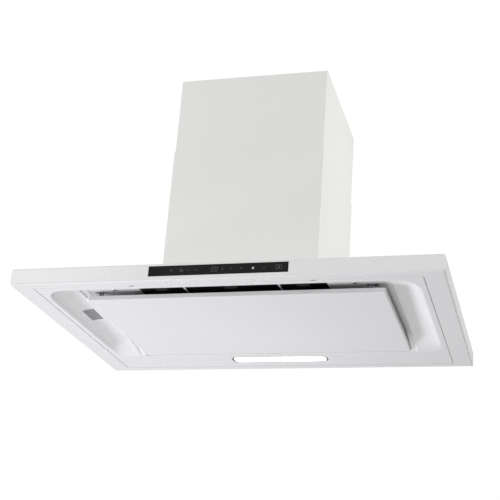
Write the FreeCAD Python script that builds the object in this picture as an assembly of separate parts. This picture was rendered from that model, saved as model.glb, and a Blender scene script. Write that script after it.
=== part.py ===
"""Island range hood: a flat canopy hung from the ceiling by a telescopic chimney.

Millimetres. +X to the hood's right, -Y is the front with the touch glass, +Z up. The origin is on
the ceiling plane, in the middle of the four ceiling screws, so the whole hood hangs below z = 0.
"""
import FreeCAD, Part
import math
import os

V = FreeCAD.Vector

# ---- driving dimensions -------------------------------------------------------------------------
HOOD_WIDTH = 900.0            # canopy, left to right
HOOD_DEPTH = 600.0            # canopy, front to back
HOOD_HEIGHT = 545.0           # ceiling to the canopy's underside, chimney run in
SLAB_HEIGHT = 36.0            # canopy edge height
SHELL_SHEET = 1.5             # canopy shell
PAN_SHEET = 1.2               # underside pan, suction panel and chimney
EDGE_RADIUS = 4.0             # soft folded edges of the canopy

RIM_SIDE = 45.0               # canopy return flange at the left and right, seen from below
RIM_FRONT = 27.0              # the same at the front and back
GROOVE = 1.5                  # shadow gap between the return flange and the pan

CHIMNEY_WIDTH = 342.0         # outer, lower section
CHIMNEY_DEPTH = 322.0
LOWER_CHIMNEY_HEIGHT = 329.0
UPPER_CHIMNEY_HEIGHT = 300.0
CHIMNEY_PLAY = 0.6            # clearance between the two sections, each side
CHIMNEY_RADIUS = 1.5

POCKET_HALF_X = 322.0         # straight-walled pocket that the suction panel closes
POCKET_FRONT = -258.0
POCKET_REAR = 182.0
POCKET_DEPTH = 22.0
CHANNEL_HALF_X = 336.0        # air channels along the pocket's left and right, full depth in front
CHANNEL_RAMP_Y = 85.0         # from here back they slope down to the rim
SCOOP_HALF_X = 392.0          # hollowed air scoops outside the channels
SCOOP_RAMP_Y = 100.0          # from here back they slope down to the rim
SCOOP_FRONT_DEPTH = 20.0
SCOOP_RAMP_DEPTH = 14.0
SCOOP_REAR_DEPTH = 1.5
SCOOP_CORNER = 45.0           # plan radius of the scoops' front corners

PANEL_HALF_X = 320.0
PANEL_FRONT = -196.0
PANEL_REAR = 179.0
PANEL_THICK = 10.0
PANEL_RISE = 0.5              # front edge sits this much higher than the rear edge
PANEL_DROP = 0.3              # rear edge above the rim plane

FILTER_HALF_X = 200.0         # opening in the pocket roof
FILTER_FRONT = -205.0
FILTER_REAR = 150.0
DIVIDER_X = 101.5             # two dividers make three filter bays
FILTER_THICK = 9.0

GLASS_WIDTH = 290.0
GLASS_HEIGHT = 21.5
GLASS_ABOVE_BASE = 8.8
LAMP_HALF_X = 116.0
LAMP_DEPTH = 42.0
LAMP_Y = 225.0

DUCT_RADIUS = 75.0            # 150 mm duct spigot, outside
FAN_RADIUS = 70.0
FAN_HALF_WIDTH = 52.0
FAN_Y = -38.0
FAN_ABOVE_SLAB = 134.0
VOLUTE_START = 80.0           # scroll radius at the tongue
VOLUTE_STEP = 12.0            # growth per quarter turn
VOLUTE_WALL = 2.0
VOLUTE_HALF_WIDTH = 64.0      # inside

LEG_SIZE = 25.0
LEG_SHEET = 2.0
LEG_HALF_X = 160.0            # outer faces of the upper legs
LEG_HALF_Y = 150.0
CEILING_SCREWS = (250.0, 230.0)
CEILING_SCREW_RADIUS = 4.0

# ---- derived levels -----------------------------------------------------------------------------
BASE = -HOOD_HEIGHT                       # underside of the canopy
TOP = BASE + SLAB_HEIGHT                  # top of the canopy
SHEET_UNDER_TOP = TOP - SHELL_SHEET
HALF_W = HOOD_WIDTH / 2
HALF_D = HOOD_DEPTH / 2
FAN_Z = TOP + FAN_ABOVE_SLAB
ROOF = BASE + POCKET_DEPTH                # underside of the pocket roof
ROOF_TOP = ROOF + PAN_SHEET

os.makedirs("parts", exist_ok=True)


# ---- small helpers ------------------------------------------------------------------------------
def block(x0, x1, y0, y1, z0, z1):
    return Part.makeBox(x1 - x0, y1 - y0, z1 - z0, V(x0, y0, z0))


def slab(half_x, half_y, z0, z1):
    return block(-half_x, half_x, -half_y, half_y, z0, z1)


def rod(start, direction, radius, length):
    return Part.makeCylinder(radius, length, V(*start), V(*direction))


def tube(start, direction, outer, inner, length):
    return rod(start, direction, outer, length).cut(rod(start, direction, inner, length))


def join(shapes):
    first, rest = shapes[0], shapes[1:]
    return first.fuse(rest).removeSplitter() if rest else first


def group(shapes):
    return Part.makeCompound(shapes)


def edges_along(shape, direction, keep=lambda point: True):
    """Straight edges parallel to a direction whose middle passes the test."""
    found = []
    for edge in shape.Edges:
        if len(edge.Vertexes) != 2:
            continue
        run = edge.Vertexes[1].Point.sub(edge.Vertexes[0].Point)
        if run.Length > 1e-6 and run.cross(V(*direction)).Length < 1e-6 * run.Length:
            if keep(edge.CenterOfMass):
                found.append(edge)
    return found


def rounded_prism(half_x, y0, y1, z0, z1, radius, corners):
    """A block with some of its four upright edges rounded; corners picks them by position."""
    shape = block(-half_x, half_x, y0, y1, z0, z1)
    return shape.makeFillet(radius, edges_along(shape, (0, 0, 1), corners))


def mirror_x(shape):
    return shape.mirror(V(0, 0, 0), V(1, 0, 0))


def save(node, shape):
    shape.exportStep("parts/%s.step" % node)


# ---- ceiling frame ------------------------------------------------------------------------------
CEILING_PLATE = 3.0
UPPER_LEG_END = -330.0
LOWER_LEG_TOP = -240.0
LEG_BOLT_RADIUS = 2.5
LEG_BOLT_LEVELS = (-262.0, -312.0)
LEG_HOLE_PITCH = 25.0
RING_SHEET = 2.0
RING_OPENING = (132.0, 122.0)  # half size of the hole in the ring and in the canopy's top sheet
STUD_INSET = 15.0             # canopy studs, in from the outer faces of the legs
STUD_HOLE = 3.3
PLATE_MARGIN = 3.0            # ceiling plate past the legs
CABLE_HOLE = (62.0, 109.0, 12.0)  # straight above the terminal box's gland
CHIMNEY_SCREW_X = 45.0
CHIMNEY_SCREW_Z = -14.0
SPIGOT_Y = FAN_Y + 70.8       # middle of the blower outlet


def ceiling_plate():
    half_x, half_y = LEG_HALF_X + PLATE_MARGIN, LEG_HALF_Y + PLATE_MARGIN
    tab_face = CHIMNEY_DEPTH / 2 - 3.6
    plate = slab(half_x, half_y, -CEILING_PLATE, 0)
    rear_tab = block(-60, 60, tab_face - 2, tab_face, -24, 0)
    rear_web = block(-60, 60, half_y, tab_face, -CEILING_PLATE, 0)
    hook = block(-40, 40, -CHIMNEY_DEPTH / 2 + 3.8, -half_y, -CEILING_PLATE, 0)
    shape = join([plate, rear_tab, rear_web, hook])
    shape = shape.cut(rod((0, SPIGOT_Y, -5), (0, 0, 1), DUCT_RADIUS + 5, 10))
    for sx in (-1, 1):
        for sy in (-1, 1):
            x, y = sx * CEILING_SCREWS[0] / 2, sy * CEILING_SCREWS[1] / 2
            shape = shape.cut(rod((x, y, -5), (0, 0, 1), CEILING_SCREW_RADIUS, 10))
    cable_x, cable_y, cable_radius = CABLE_HOLE
    shape = shape.cut(rod((cable_x, cable_y, -5), (0, 0, 1), cable_radius, 10))
    for x in (-CHIMNEY_SCREW_X, CHIMNEY_SCREW_X):
        shape = shape.cut(rod((x, CHIMNEY_DEPTH / 2 - 8, CHIMNEY_SCREW_Z), (0, 1, 0), 1.7, 8))
    return shape


LEG_HOLE_Y = LEG_HALF_Y - LEG_SIZE / 2 - 1


def angle_leg(half_x, half_y, z0, z1, hole_levels):
    """Right rear corner angle, its flanges facing in; holes go through the flange across X."""
    flange_y = block(half_x - LEG_SHEET, half_x, half_y - LEG_SIZE, half_y, z0, z1)
    flange_x = block(half_x - LEG_SIZE, half_x, half_y - LEG_SHEET, half_y, z0, z1)
    leg = join([flange_y, flange_x])
    for level in hole_levels:
        start = (half_x - LEG_SHEET - 1, LEG_HOLE_Y, level)
        leg = leg.cut(rod(start, (1, 0, 0), LEG_BOLT_RADIUS + 0.25, LEG_SHEET + 2))
    return leg


def at_corner(shape, sx, sy):
    if sx < 0:
        shape = shape.mirror(V(0, 0, 0), V(1, 0, 0))
    if sy < 0:
        shape = shape.mirror(V(0, 0, 0), V(0, 1, 0))
    return shape


def upper_leg():
    first = LEG_BOLT_LEVELS[1]
    levels = [first + i * LEG_HOLE_PITCH for i in range(11)]
    return angle_leg(LEG_HALF_X, LEG_HALF_Y, UPPER_LEG_END, -CEILING_PLATE, levels)


def lower_leg():
    inset = LEG_SHEET
    leg = angle_leg(LEG_HALF_X - inset, LEG_HALF_Y - inset, TOP + RING_SHEET, LOWER_LEG_TOP,
                    LEG_BOLT_LEVELS)
    x1, y1 = LEG_HALF_X - inset, LEG_HALF_Y - inset
    foot = block(x1 - LEG_SIZE, x1, y1 - LEG_SIZE, y1, TOP + RING_SHEET, TOP + 2 * RING_SHEET)
    leg = join([leg, foot])
    to_stud = STUD_INSET - inset
    hole = rod((x1 - to_stud, y1 - to_stud, TOP), (0, 0, 1), STUD_HOLE, 10)
    return leg.cut(hole)


def leg_bolts():
    """Two screw and nut pairs through each pair of nested legs."""
    pieces = []
    for sx in (-1, 1):
        for sy in (-1, 1):
            for level in LEG_BOLT_LEVELS:
                head = rod((LEG_HALF_X, LEG_HOLE_Y, level), (1, 0, 0), 4.5, 3)
                shank = rod((LEG_HALF_X - 12, LEG_HOLE_Y, level), (1, 0, 0), LEG_BOLT_RADIUS, 12)
                nut = hexagon(V(LEG_HALF_X - 8, LEG_HOLE_Y, level), V(1, 0, 0), 4.0, 4.0)
                pieces.append(at_corner(join([head, shank, nut]), sx, sy))
    return pieces


def hexagon(start, direction, across_half, length):
    """Hexagonal prism from a start point along X or Z."""
    turned = direction.x > 0.5
    points = []
    for i in range(7):
        a = math.radians(60 * i)
        c, s = across_half * math.cos(a), across_half * math.sin(a)
        points.append(start + (V(0, c, s) if turned else V(c, s, 0)))
    face = Part.Face(Part.makePolygon(points))
    return face.extrude(direction * length)


def brace(side):
    """Flat bar that ties the front and rear upper legs of one side."""
    x0 = LEG_HALF_X - LEG_SHEET - 2
    bar = block(x0, x0 + 2, -LEG_HALF_Y + LEG_SHEET, LEG_HALF_Y - LEG_SHEET, -180, -155)
    for y in (-LEG_HALF_Y + LEG_SIZE / 2 + 1, LEG_HALF_Y - LEG_SIZE / 2 - 1):
        bar = bar.cut(rod((x0 - 1, y, LEG_BOLT_LEVELS[1] + 6 * LEG_HOLE_PITCH), (1, 0, 0), 2.75, 4))
    return bar if side > 0 else mirror_x(bar)


def stud_places():
    x, y = LEG_HALF_X - STUD_INSET, LEG_HALF_Y - STUD_INSET
    return [(sx * x, sy * y) for sx in (-1, 1) for sy in (-1, 1)]


def canopy_ring():
    ring = slab(LEG_HALF_X + 2, LEG_HALF_Y + 2, TOP, TOP + RING_SHEET)
    ring = ring.cut(slab(*RING_OPENING, TOP - 1, TOP + RING_SHEET + 1))
    for x, y in stud_places():
        ring = ring.cut(rod((x, y, TOP - 1), (0, 0, 1), STUD_HOLE, 6))
    return ring


def ring_bolts():
    """Four M6 studs with nuts that clamp leg foot, ring and canopy sheet together."""
    pieces = []
    for x, y in stud_places():
        shank = rod((x, y, SHEET_UNDER_TOP - 2.5), (0, 0, 1), 3.0, 16)
        head = rod((x, y, SHEET_UNDER_TOP - 2.5), (0, 0, 1), 6.0, 2.5)
        nut = hexagon(V(x, y, TOP + 2 * RING_SHEET), V(0, 0, 1), 5.5, 5.0)
        pieces.append(join([shank, head, nut]))
    return pieces


# ---- chimney ------------------------------------------------------------------------------------
def chimney_section(half_x, half_y, z0, z1):
    outer = slab(half_x, half_y, z0, z1)
    outer = outer.makeFillet(CHIMNEY_RADIUS, edges_along(outer, (0, 0, 1)))
    return outer.cut(slab(half_x - PAN_SHEET, half_y - PAN_SHEET, z0 - 1, z1 + 1))


def lower_chimney():
    return chimney_section(CHIMNEY_WIDTH / 2, CHIMNEY_DEPTH / 2, TOP, TOP + LOWER_CHIMNEY_HEIGHT)


def upper_chimney():
    inset = PAN_SHEET + CHIMNEY_PLAY
    half_x, half_y = CHIMNEY_WIDTH / 2 - inset, CHIMNEY_DEPTH / 2 - inset
    section = chimney_section(half_x, half_y, -UPPER_CHIMNEY_HEIGHT, 0)
    for x in (-CHIMNEY_SCREW_X, CHIMNEY_SCREW_X):
        section = section.cut(rod((x, half_y - 3, CHIMNEY_SCREW_Z), (0, 1, 0), 1.7, 6))
    return section


def chimney_screws():
    """Two pan-head screws through the upper chimney's rear face into the ceiling plate's tab."""
    face = CHIMNEY_DEPTH / 2 - PAN_SHEET - CHIMNEY_PLAY
    pieces = []
    for x in (-CHIMNEY_SCREW_X, CHIMNEY_SCREW_X):
        shank = rod((x, face - 8, CHIMNEY_SCREW_Z), (0, 1, 0), 1.6, 8)
        head = rod((x, face, CHIMNEY_SCREW_Z), (0, 1, 0), 3.0, 0.5)
        pieces.append(join([shank, head]))
    return pieces


# ---- canopy shell -------------------------------------------------------------------------------
def canopy_shell():
    def outer_edge(p):
        return abs(p.x) > HALF_W - 1 or abs(p.y) > HALF_D - 1
    outer = slab(HALF_W, HALF_D, BASE, TOP)
    rounded = [e for e in outer.Edges if outer_edge(e.CenterOfMass)]
    outer = outer.makeFillet(EDGE_RADIUS, rounded)
    hollow = slab(HALF_W - SHELL_SHEET, HALF_D - SHELL_SHEET, BASE + SHELL_SHEET, SHEET_UNDER_TOP)
    upright = edges_along(hollow, (0, 0, 1))
    hollow = hollow.makeFillet(EDGE_RADIUS - 1, upright)
    shell = outer.cut(hollow)
    mouth = slab(HALF_W - RIM_SIDE + GROOVE, HALF_D - RIM_FRONT + GROOVE, BASE - 1, BASE + 3)
    shell = shell.cut(mouth)
    shell = shell.cut(slab(*RING_OPENING, SHEET_UNDER_TOP - 1, TOP + 1))
    gap = 0.3
    z0 = BASE + GLASS_ABOVE_BASE
    window = block(-GLASS_WIDTH / 2 - gap, GLASS_WIDTH / 2 + gap, -HALF_D - 1, -HALF_D + 4,
                   z0 - gap, z0 + GLASS_HEIGHT + gap)
    shell = shell.cut(window)
    for x, y in stud_places():
        shell = shell.cut(rod((x, y, TOP - 3), (0, 0, 1), STUD_HOLE, 6))
    return shell


# ---- underside pan ------------------------------------------------------------------------------
def scoop_section(y, depth, grow):
    """Upright section of the right scoop: flat roof, then a hollow curve down to the rim."""
    inner = POCKET_HALF_X - 12
    outer = SCOOP_HALF_X + grow
    high = BASE + depth + grow
    a, b = V(inner, y, BASE), V(outer, y, BASE)
    mid, c = V(outer - 14, y, BASE + 0.62 * (high - BASE)), V(outer - 44, y, high)
    d = V(inner, y, high)
    return Part.Wire([
        Part.makeLine(a, b), Part.Arc(b, mid, c).toShape(), Part.makeLine(c, d), Part.makeLine(d, a),
    ])


def recess(grow):
    """The air space under the pan; grow moves its walls outwards, for the sheet's upper side."""
    pocket = block(-POCKET_HALF_X - grow, POCKET_HALF_X + grow, POCKET_FRONT - grow,
                   POCKET_REAR + grow, BASE, ROOF + grow)
    front_y, rear_y = POCKET_FRONT - grow, POCKET_REAR - 4 + grow
    half = CHANNEL_HALF_X + grow
    outline = [V(-half, front_y, BASE), V(-half, front_y, ROOF + grow),
               V(-half, CHANNEL_RAMP_Y, ROOF + grow),
               V(-half, rear_y, BASE + SCOOP_REAR_DEPTH + grow), V(-half, rear_y, BASE)]
    channel = Part.Face(Part.makePolygon(outline + outline[:1])).extrude(V(2 * half, 0, 0))
    ramp_start = scoop_section(SCOOP_RAMP_Y, SCOOP_RAMP_DEPTH, grow)
    spans = [(scoop_section(front_y, SCOOP_FRONT_DEPTH, grow), ramp_start),
             (ramp_start, scoop_section(rear_y, SCOOP_REAR_DEPTH, grow))]
    scoop = join([Part.makeLoft(list(span), True, True) for span in spans])
    corners = rounded_prism(SCOOP_HALF_X + grow, POCKET_FRONT - grow, POCKET_REAR + grow, BASE - 1,
                            ROOF + 5, SCOOP_CORNER, lambda p: p.y < 0)
    scoop = scoop.common(corners)
    return join([pocket, channel, scoop, mirror_x(scoop)])


def underside_pan():
    half_x, half_y = HALF_W - RIM_SIDE, HALF_D - RIM_FRONT
    rim = slab(half_x, half_y, BASE, BASE + PAN_SHEET)
    flange = slab(half_x, half_y, BASE, BASE + 12)
    flange = flange.cut(slab(half_x - PAN_SHEET, half_y - PAN_SHEET, BASE - 1, BASE + 13))
    pan = join([rim, flange, recess(PAN_SHEET)])
    pan = pan.cut(recess(0))
    pan = pan.cut(block(-FILTER_HALF_X - 1.5, FILTER_HALF_X + 1.5, FILTER_FRONT - 1.5,
                        FILTER_REAR + 1.5, ROOF - 1, ROOF_TOP + 1))
    gap = 0.4
    pan = pan.cut(block(-LAMP_HALF_X - gap, LAMP_HALF_X + gap, LAMP_Y - LAMP_DEPTH / 2 - gap,
                        LAMP_Y + LAMP_DEPTH / 2 + gap, BASE - 1, BASE + 3))
    for x, y in pan_screw_places():
        pan = pan.cut(rod((x, y, ROOF - 1), (0, 0, 1), 2.2, 4))
    for x in (-NOTCH_X, NOTCH_X):
        pan = pan.cut(block(x - 5, x + 5, -half_y - 1, -half_y + 2.5, BASE - 1, BASE + 5))
    return pan


RAIL_X = 258.0
RAIL_WIDTH = 24.0
NOTCH_X = 190.0               # slots in the pan's front edge for lifting it out


def pan_screw_places():
    return [(sx * RAIL_X, y) for sx in (-1, 1) for y in (-200, -30, 140)]


def pan_rail(side):
    """Top-hat rail spot-welded under the top sheet; the pan is screwed up into it."""
    rail = block(RAIL_X - RAIL_WIDTH / 2, RAIL_X + RAIL_WIDTH / 2, -235, 170, ROOF_TOP,
                 SHEET_UNDER_TOP)
    rail = rail.cut(block(RAIL_X - RAIL_WIDTH / 2 + 1.5, RAIL_X + RAIL_WIDTH / 2 - 1.5, -236, 171,
                          ROOF_TOP + 1.5, SHEET_UNDER_TOP))
    for x, y in pan_screw_places():
        if x > 0:
            rail = rail.cut(rod((x, y, ROOF_TOP - 1), (0, 0, 1), 1.9, 4))
    return rail if side > 0 else mirror_x(rail)


def pan_screws():
    pieces = []
    for x, y in pan_screw_places():
        head = rod((x, y, ROOF - 1.8), (0, 0, 1), 4.0, 1.8)
        shank = rod((x, y, ROOF - 1.8), (0, 0, 1), 1.9, 9)
        pieces.append(join([head, shank]))
    return pieces


def rating_label():
    """Thin plain label stuck to the left scoop, following its hollow curve."""
    skin = recess(0).cut(recess(-0.4))
    return skin.common(block(-372, -346, -105, -45, BASE + 3, ROOF + 2))


# ---- suction panel, hinged along its rear edge --------------------------------------------------
HINGE_Y = 171.0
HINGE_Z = BASE + PANEL_DROP + 5.5
HINGE_X = 296.0
PIN_RADIUS = 1.5
HINGE_FIT = 0.06
KNUCKLE = 3.5


def panel_tilt():
    return math.degrees(math.atan(PANEL_RISE / (HINGE_Y - PANEL_FRONT)))


def tilted(shape):
    """Panel parts are drawn level and turned about the hinge so that the front edge sits higher."""
    shape.rotate(V(0, HINGE_Y, HINGE_Z), V(1, 0, 0), -panel_tilt())
    return shape


def suction_panel():
    z0 = BASE + PANEL_DROP
    z1 = z0 + PANEL_THICK
    outer = block(-PANEL_HALF_X, PANEL_HALF_X, PANEL_FRONT, PANEL_REAR, z0, z1)
    upright = edges_along(outer, (0, 0, 1))
    outer = outer.makeFillet(4.0, upright)
    low = [e for e in outer.Edges if abs(e.CenterOfMass.z - z0) < 1e-3]
    outer = outer.makeFillet(2.0, low)
    hollow = block(-PANEL_HALF_X + PAN_SHEET, PANEL_HALF_X - PAN_SHEET, PANEL_FRONT + PAN_SHEET,
                   PANEL_REAR - PAN_SHEET, z0 + PAN_SHEET, z1 + 1)
    hollow = hollow.makeFillet(3.0, edges_along(hollow, (0, 0, 1)))
    panel = outer.cut(hollow)
    for sx in (-1, 1):
        notch = block(sx * HINGE_X - 5, sx * HINGE_X + 5, PANEL_REAR - 4, PANEL_REAR + 1,
                      z0 + PAN_SHEET + 0.8, z1 + 1)
        panel = panel.cut(notch)
    return tilted(panel)


def panel_lining():
    """Ribbed inner sheet that stiffens the panel, clear of the hinges and strikers."""
    z0 = BASE + PANEL_DROP + PAN_SHEET
    plate = block(-270, 270, PANEL_FRONT + 12, PANEL_REAR - 28, z0, z0 + 1.0)
    ribs = [block(x - 12, x + 12, PANEL_FRONT + 12, PANEL_REAR - 28, z0, z0 + 5.0)
            for x in (-180, -60, 60, 180)]
    hollows = [block(x - 11, x + 11, PANEL_FRONT + 11, PANEL_REAR - 27, z0 + 1.0, z0 + 4.0)
               for x in (-180, -60, 60, 180)]
    lining = join([plate] + ribs)
    for hollow in hollows:
        lining = lining.cut(hollow)
    return tilted(lining)


def panel_ears(side):
    """Bracket on the panel with two ears, one on each side of the fixed hinge web."""
    z0 = BASE + PANEL_DROP + PAN_SHEET
    base = block(HINGE_X - 9, HINGE_X + 9, HINGE_Y - 26, HINGE_Y - 6, z0, z0 + 1.2)
    pieces = [base]
    for x in (HINGE_X - 6, HINGE_X + 4):
        arm = block(x, x + 2, HINGE_Y - 26, HINGE_Y, z0, HINGE_Z + 2.4)
        eye = rod((x, HINGE_Y, HINGE_Z), (1, 0, 0), KNUCKLE - 0.6, 2)
        pieces += [arm, eye]
    ears = join(pieces).cut(rod((HINGE_X - 10, HINGE_Y, HINGE_Z), (1, 0, 0), PIN_RADIUS, 20))
    ears = tilted(ears)
    return ears if side > 0 else mirror_x(ears)


def hinge_pin(side):
    pin = rod((HINGE_X - 7.5, HINGE_Y, HINGE_Z), (1, 0, 0), PIN_RADIUS, 15)
    head = rod((HINGE_X + 6, HINGE_Y, HINGE_Z), (1, 0, 0), 2.4, 1.5)
    pin = join([pin, head])
    return pin if side > 0 else mirror_x(pin)


def hinge_bracket(side):
    """Web that hangs from the pocket roof and carries the pin in its lower eye."""
    web = block(HINGE_X - 1.5, HINGE_X + 1.5, HINGE_Y - KNUCKLE, HINGE_Y + KNUCKLE, HINGE_Z, ROOF)
    eye = rod((HINGE_X - 1.5, HINGE_Y, HINGE_Z), (1, 0, 0), KNUCKLE, 3)
    foot = block(HINGE_X - 10, HINGE_X + 10, HINGE_Y - 22, HINGE_Y + 6, ROOF - 1.5, ROOF)
    bracket = join([web, eye, foot])
    bracket = bracket.cut(rod((HINGE_X - 3, HINGE_Y, HINGE_Z), (1, 0, 0), PIN_RADIUS + HINGE_FIT, 6))
    return bracket if side > 0 else mirror_x(bracket)


CATCH_X = 292.0
CATCH_Y = -186.0


def striker(side):
    """Headed stud near the panel's front corner that snaps between the catch's leaves."""
    z0 = BASE + PANEL_DROP + PAN_SHEET
    foot = rod((CATCH_X, CATCH_Y, z0), (0, 0, 1), 4.5, 1.2)
    neck = rod((CATCH_X, CATCH_Y, z0), (0, 0, 1), 1.4, 8.0)
    head = Part.makeSphere(2.1, V(CATCH_X, CATCH_Y, z0 + 8.5))
    stud = tilted(join([foot, neck, head]))
    return stud if side > 0 else mirror_x(stud)


def catch(side):
    """Leaf spring clip under the pocket roof; its two leaves hold the striker's head."""
    z_low = BASE + PANEL_RISE + 8.2
    foot = block(CATCH_X - 12, CATCH_X + 12, CATCH_Y - 5, CATCH_Y + 5, ROOF - 0.8, ROOF)
    leaves = [block(x, x + 0.8, CATCH_Y - 5, CATCH_Y + 5, z_low, ROOF)
              for x in (CATCH_X - 3.3, CATCH_X + 2.5)]
    clip = join([foot] + leaves)
    return clip if side > 0 else mirror_x(clip)


# ---- grease filters -----------------------------------------------------------------------------
SEAT = BASE + 30.2            # underside of the seat that the cassettes press against
CASSETTE_LOW = SEAT - FILTER_THICK
BAYS = {
    "left": (-FILTER_HALF_X, -DIVIDER_X - 2.6),
    "middle": (-DIVIDER_X + 2.6, DIVIDER_X - 2.6),
    "right": (DIVIDER_X + 2.6, FILTER_HALF_X),
}


def filter_frame():
    """Deep-drawn frame on top of the pocket roof with a seat and two dividers."""
    y0, y1, half_x = FILTER_FRONT - 1.5, FILTER_REAR + 1.5, FILTER_HALF_X + 1.5
    flange = block(-half_x - 10, half_x + 10, y0 - 10, y1 + 10, ROOF_TOP, ROOF_TOP + 1.5)
    body = block(-half_x - 2, half_x + 2, y0 - 2, y1 + 2, ROOF_TOP, SEAT + 2)
    frame = join([flange, body])
    frame = frame.cut(block(-half_x, half_x, y0, y1, ROOF_TOP - 1, SEAT))
    frame = frame.cut(block(-half_x + 10, half_x - 10, y0 + 10, y1 - 10, SEAT - 1, SEAT + 3))
    dividers = [block(x - 2, x + 2, y0, y1, CASSETTE_LOW - 0.5, SEAT + 2)
                for x in (-DIVIDER_X, DIVIDER_X)]
    return join([frame] + dividers)


def cassette(bay):
    x0, x1 = BAYS[bay]
    frame = block(x0, x1, FILTER_FRONT, FILTER_REAR, CASSETTE_LOW, SEAT)
    frame = frame.cut(block(x0 + 9, x1 - 9, FILTER_FRONT + 16, FILTER_REAR - 9,
                            CASSETTE_LOW - 1, SEAT + 1))
    groove = block(x0 + 6, x1 - 6, FILTER_FRONT + 13, FILTER_REAR - 6, CASSETTE_LOW + 1.5,
                   SEAT - 1.5)
    return frame.cut(groove)


def filter_mesh(bay):
    x0, x1 = BAYS[bay]
    return block(x0 + 6, x1 - 6, FILTER_FRONT + 13, FILTER_REAR - 6, CASSETTE_LOW + 1.5,
                 SEAT - 1.5)


def filter_latch(bay):
    """Spring slide under the cassette's front bar; its nose reaches under the pocket roof."""
    x0, x1 = BAYS[bay]
    x = (x0 + x1) / 2
    plate = block(x - 14, x + 14, FILTER_FRONT + 0.5, FILTER_FRONT + 11, CASSETTE_LOW - 1.6,
                  CASSETTE_LOW)
    nose = block(x - 10, x + 10, FILTER_FRONT - 4, FILTER_FRONT + 0.5, CASSETTE_LOW - 1.6,
                 CASSETTE_LOW - 0.1)
    thumb = block(x - 9, x + 9, FILTER_FRONT + 8, FILTER_FRONT + 10, CASSETTE_LOW - 3.0,
                  CASSETTE_LOW - 1.6)
    return join([plate, nose, thumb])


# ---- touch control ------------------------------------------------------------------------------
GLASS_Z = BASE + GLASS_ABOVE_BASE


def control_glass():
    glass = block(-GLASS_WIDTH / 2, GLASS_WIDTH / 2, -HALF_D - 0.2, -HALF_D + 2.8, GLASS_Z,
                  GLASS_Z + GLASS_HEIGHT)
    front = [e for e in glass.Edges if abs(e.CenterOfMass.y + HALF_D + 0.2) < 1e-3]
    return glass.makeChamfer(0.3, front)


def control_carrier():
    """Moulded tray behind the front sheet that holds the glass and the touch board."""
    y0 = -HALF_D + SHELL_SHEET
    half = GLASS_WIDTH / 2
    tray = block(-half - 8, half + 8, y0, y0 + 11, GLASS_Z - 4, GLASS_Z + GLASS_HEIGHT + 3.5)
    seat = block(-half, half, y0 - 1, -HALF_D + 2.8, GLASS_Z, GLASS_Z + GLASS_HEIGHT)
    hollow = block(-half + 3, half - 3, y0 - 1, y0 + 9.5, GLASS_Z + 1.5, GLASS_Z + GLASS_HEIGHT - 1.5)
    return tray.cut(seat).cut(hollow)


def touch_board():
    y0 = -HALF_D + 4.2
    half = GLASS_WIDTH / 2 - 6
    board = block(-half, half, y0, y0 + 1.6, GLASS_Z + 2.5, GLASS_Z + GLASS_HEIGHT - 2.5)
    chips = [block(x - 5, x + 5, y0 + 1.6, y0 + 3.4, GLASS_Z + 6, GLASS_Z + 16)
             for x in (-110, -20, 90)]
    socket = block(115, 130, y0 + 1.6, y0 + 5.6, GLASS_Z + 6, GLASS_Z + 14)
    return join([board, socket] + chips)


# ---- lamp ---------------------------------------------------------------------------------------
def lamp_lens():
    y0, y1 = LAMP_Y - LAMP_DEPTH / 2, LAMP_Y + LAMP_DEPTH / 2
    lens = block(-LAMP_HALF_X, LAMP_HALF_X, y0, y1, BASE, BASE + 3)
    return lens.makeFillet(2.0, edges_along(lens, (0, 0, 1)))


def lamp_housing():
    y0, y1 = LAMP_Y - LAMP_DEPTH / 2, LAMP_Y + LAMP_DEPTH / 2
    outer = block(-LAMP_HALF_X - 5, LAMP_HALF_X + 5, y0 - 5, y1 + 5, BASE + PAN_SHEET, BASE + 16)
    inner = block(-LAMP_HALF_X - 0.2, LAMP_HALF_X + 0.2, y0 - 0.2, y1 + 0.2, BASE, BASE + 3)
    room = block(-LAMP_HALF_X + 3, LAMP_HALF_X - 3, y0 + 3, y1 - 3, BASE, BASE + 14.5)
    return outer.cut(inner).cut(room)


def lamp_board():
    half = LAMP_HALF_X - 6
    board = block(-half, half, LAMP_Y - 14, LAMP_Y + 14, BASE + 12.9, BASE + 14.5)
    count = 14
    pitch = 2 * half / count
    chips = [block(x - 1.5, x + 1.5, LAMP_Y - 1.5, LAMP_Y + 1.5, BASE + 12.1, BASE + 12.9)
             for x in (-half + pitch * (i + 0.5) for i in range(count))]
    return join([board] + chips)


# ---- blower -------------------------------------------------------------------------------------
OUTLET_TOP = FAN_Z + 105.0
TONGUE_ANGLE = 62.0
INLET_RADIUS = 60.0
MOTOR_RADIUS = 36.0
SHAFT_RADIUS = 4.0
SHAFT_FIT = 0.05


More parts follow.
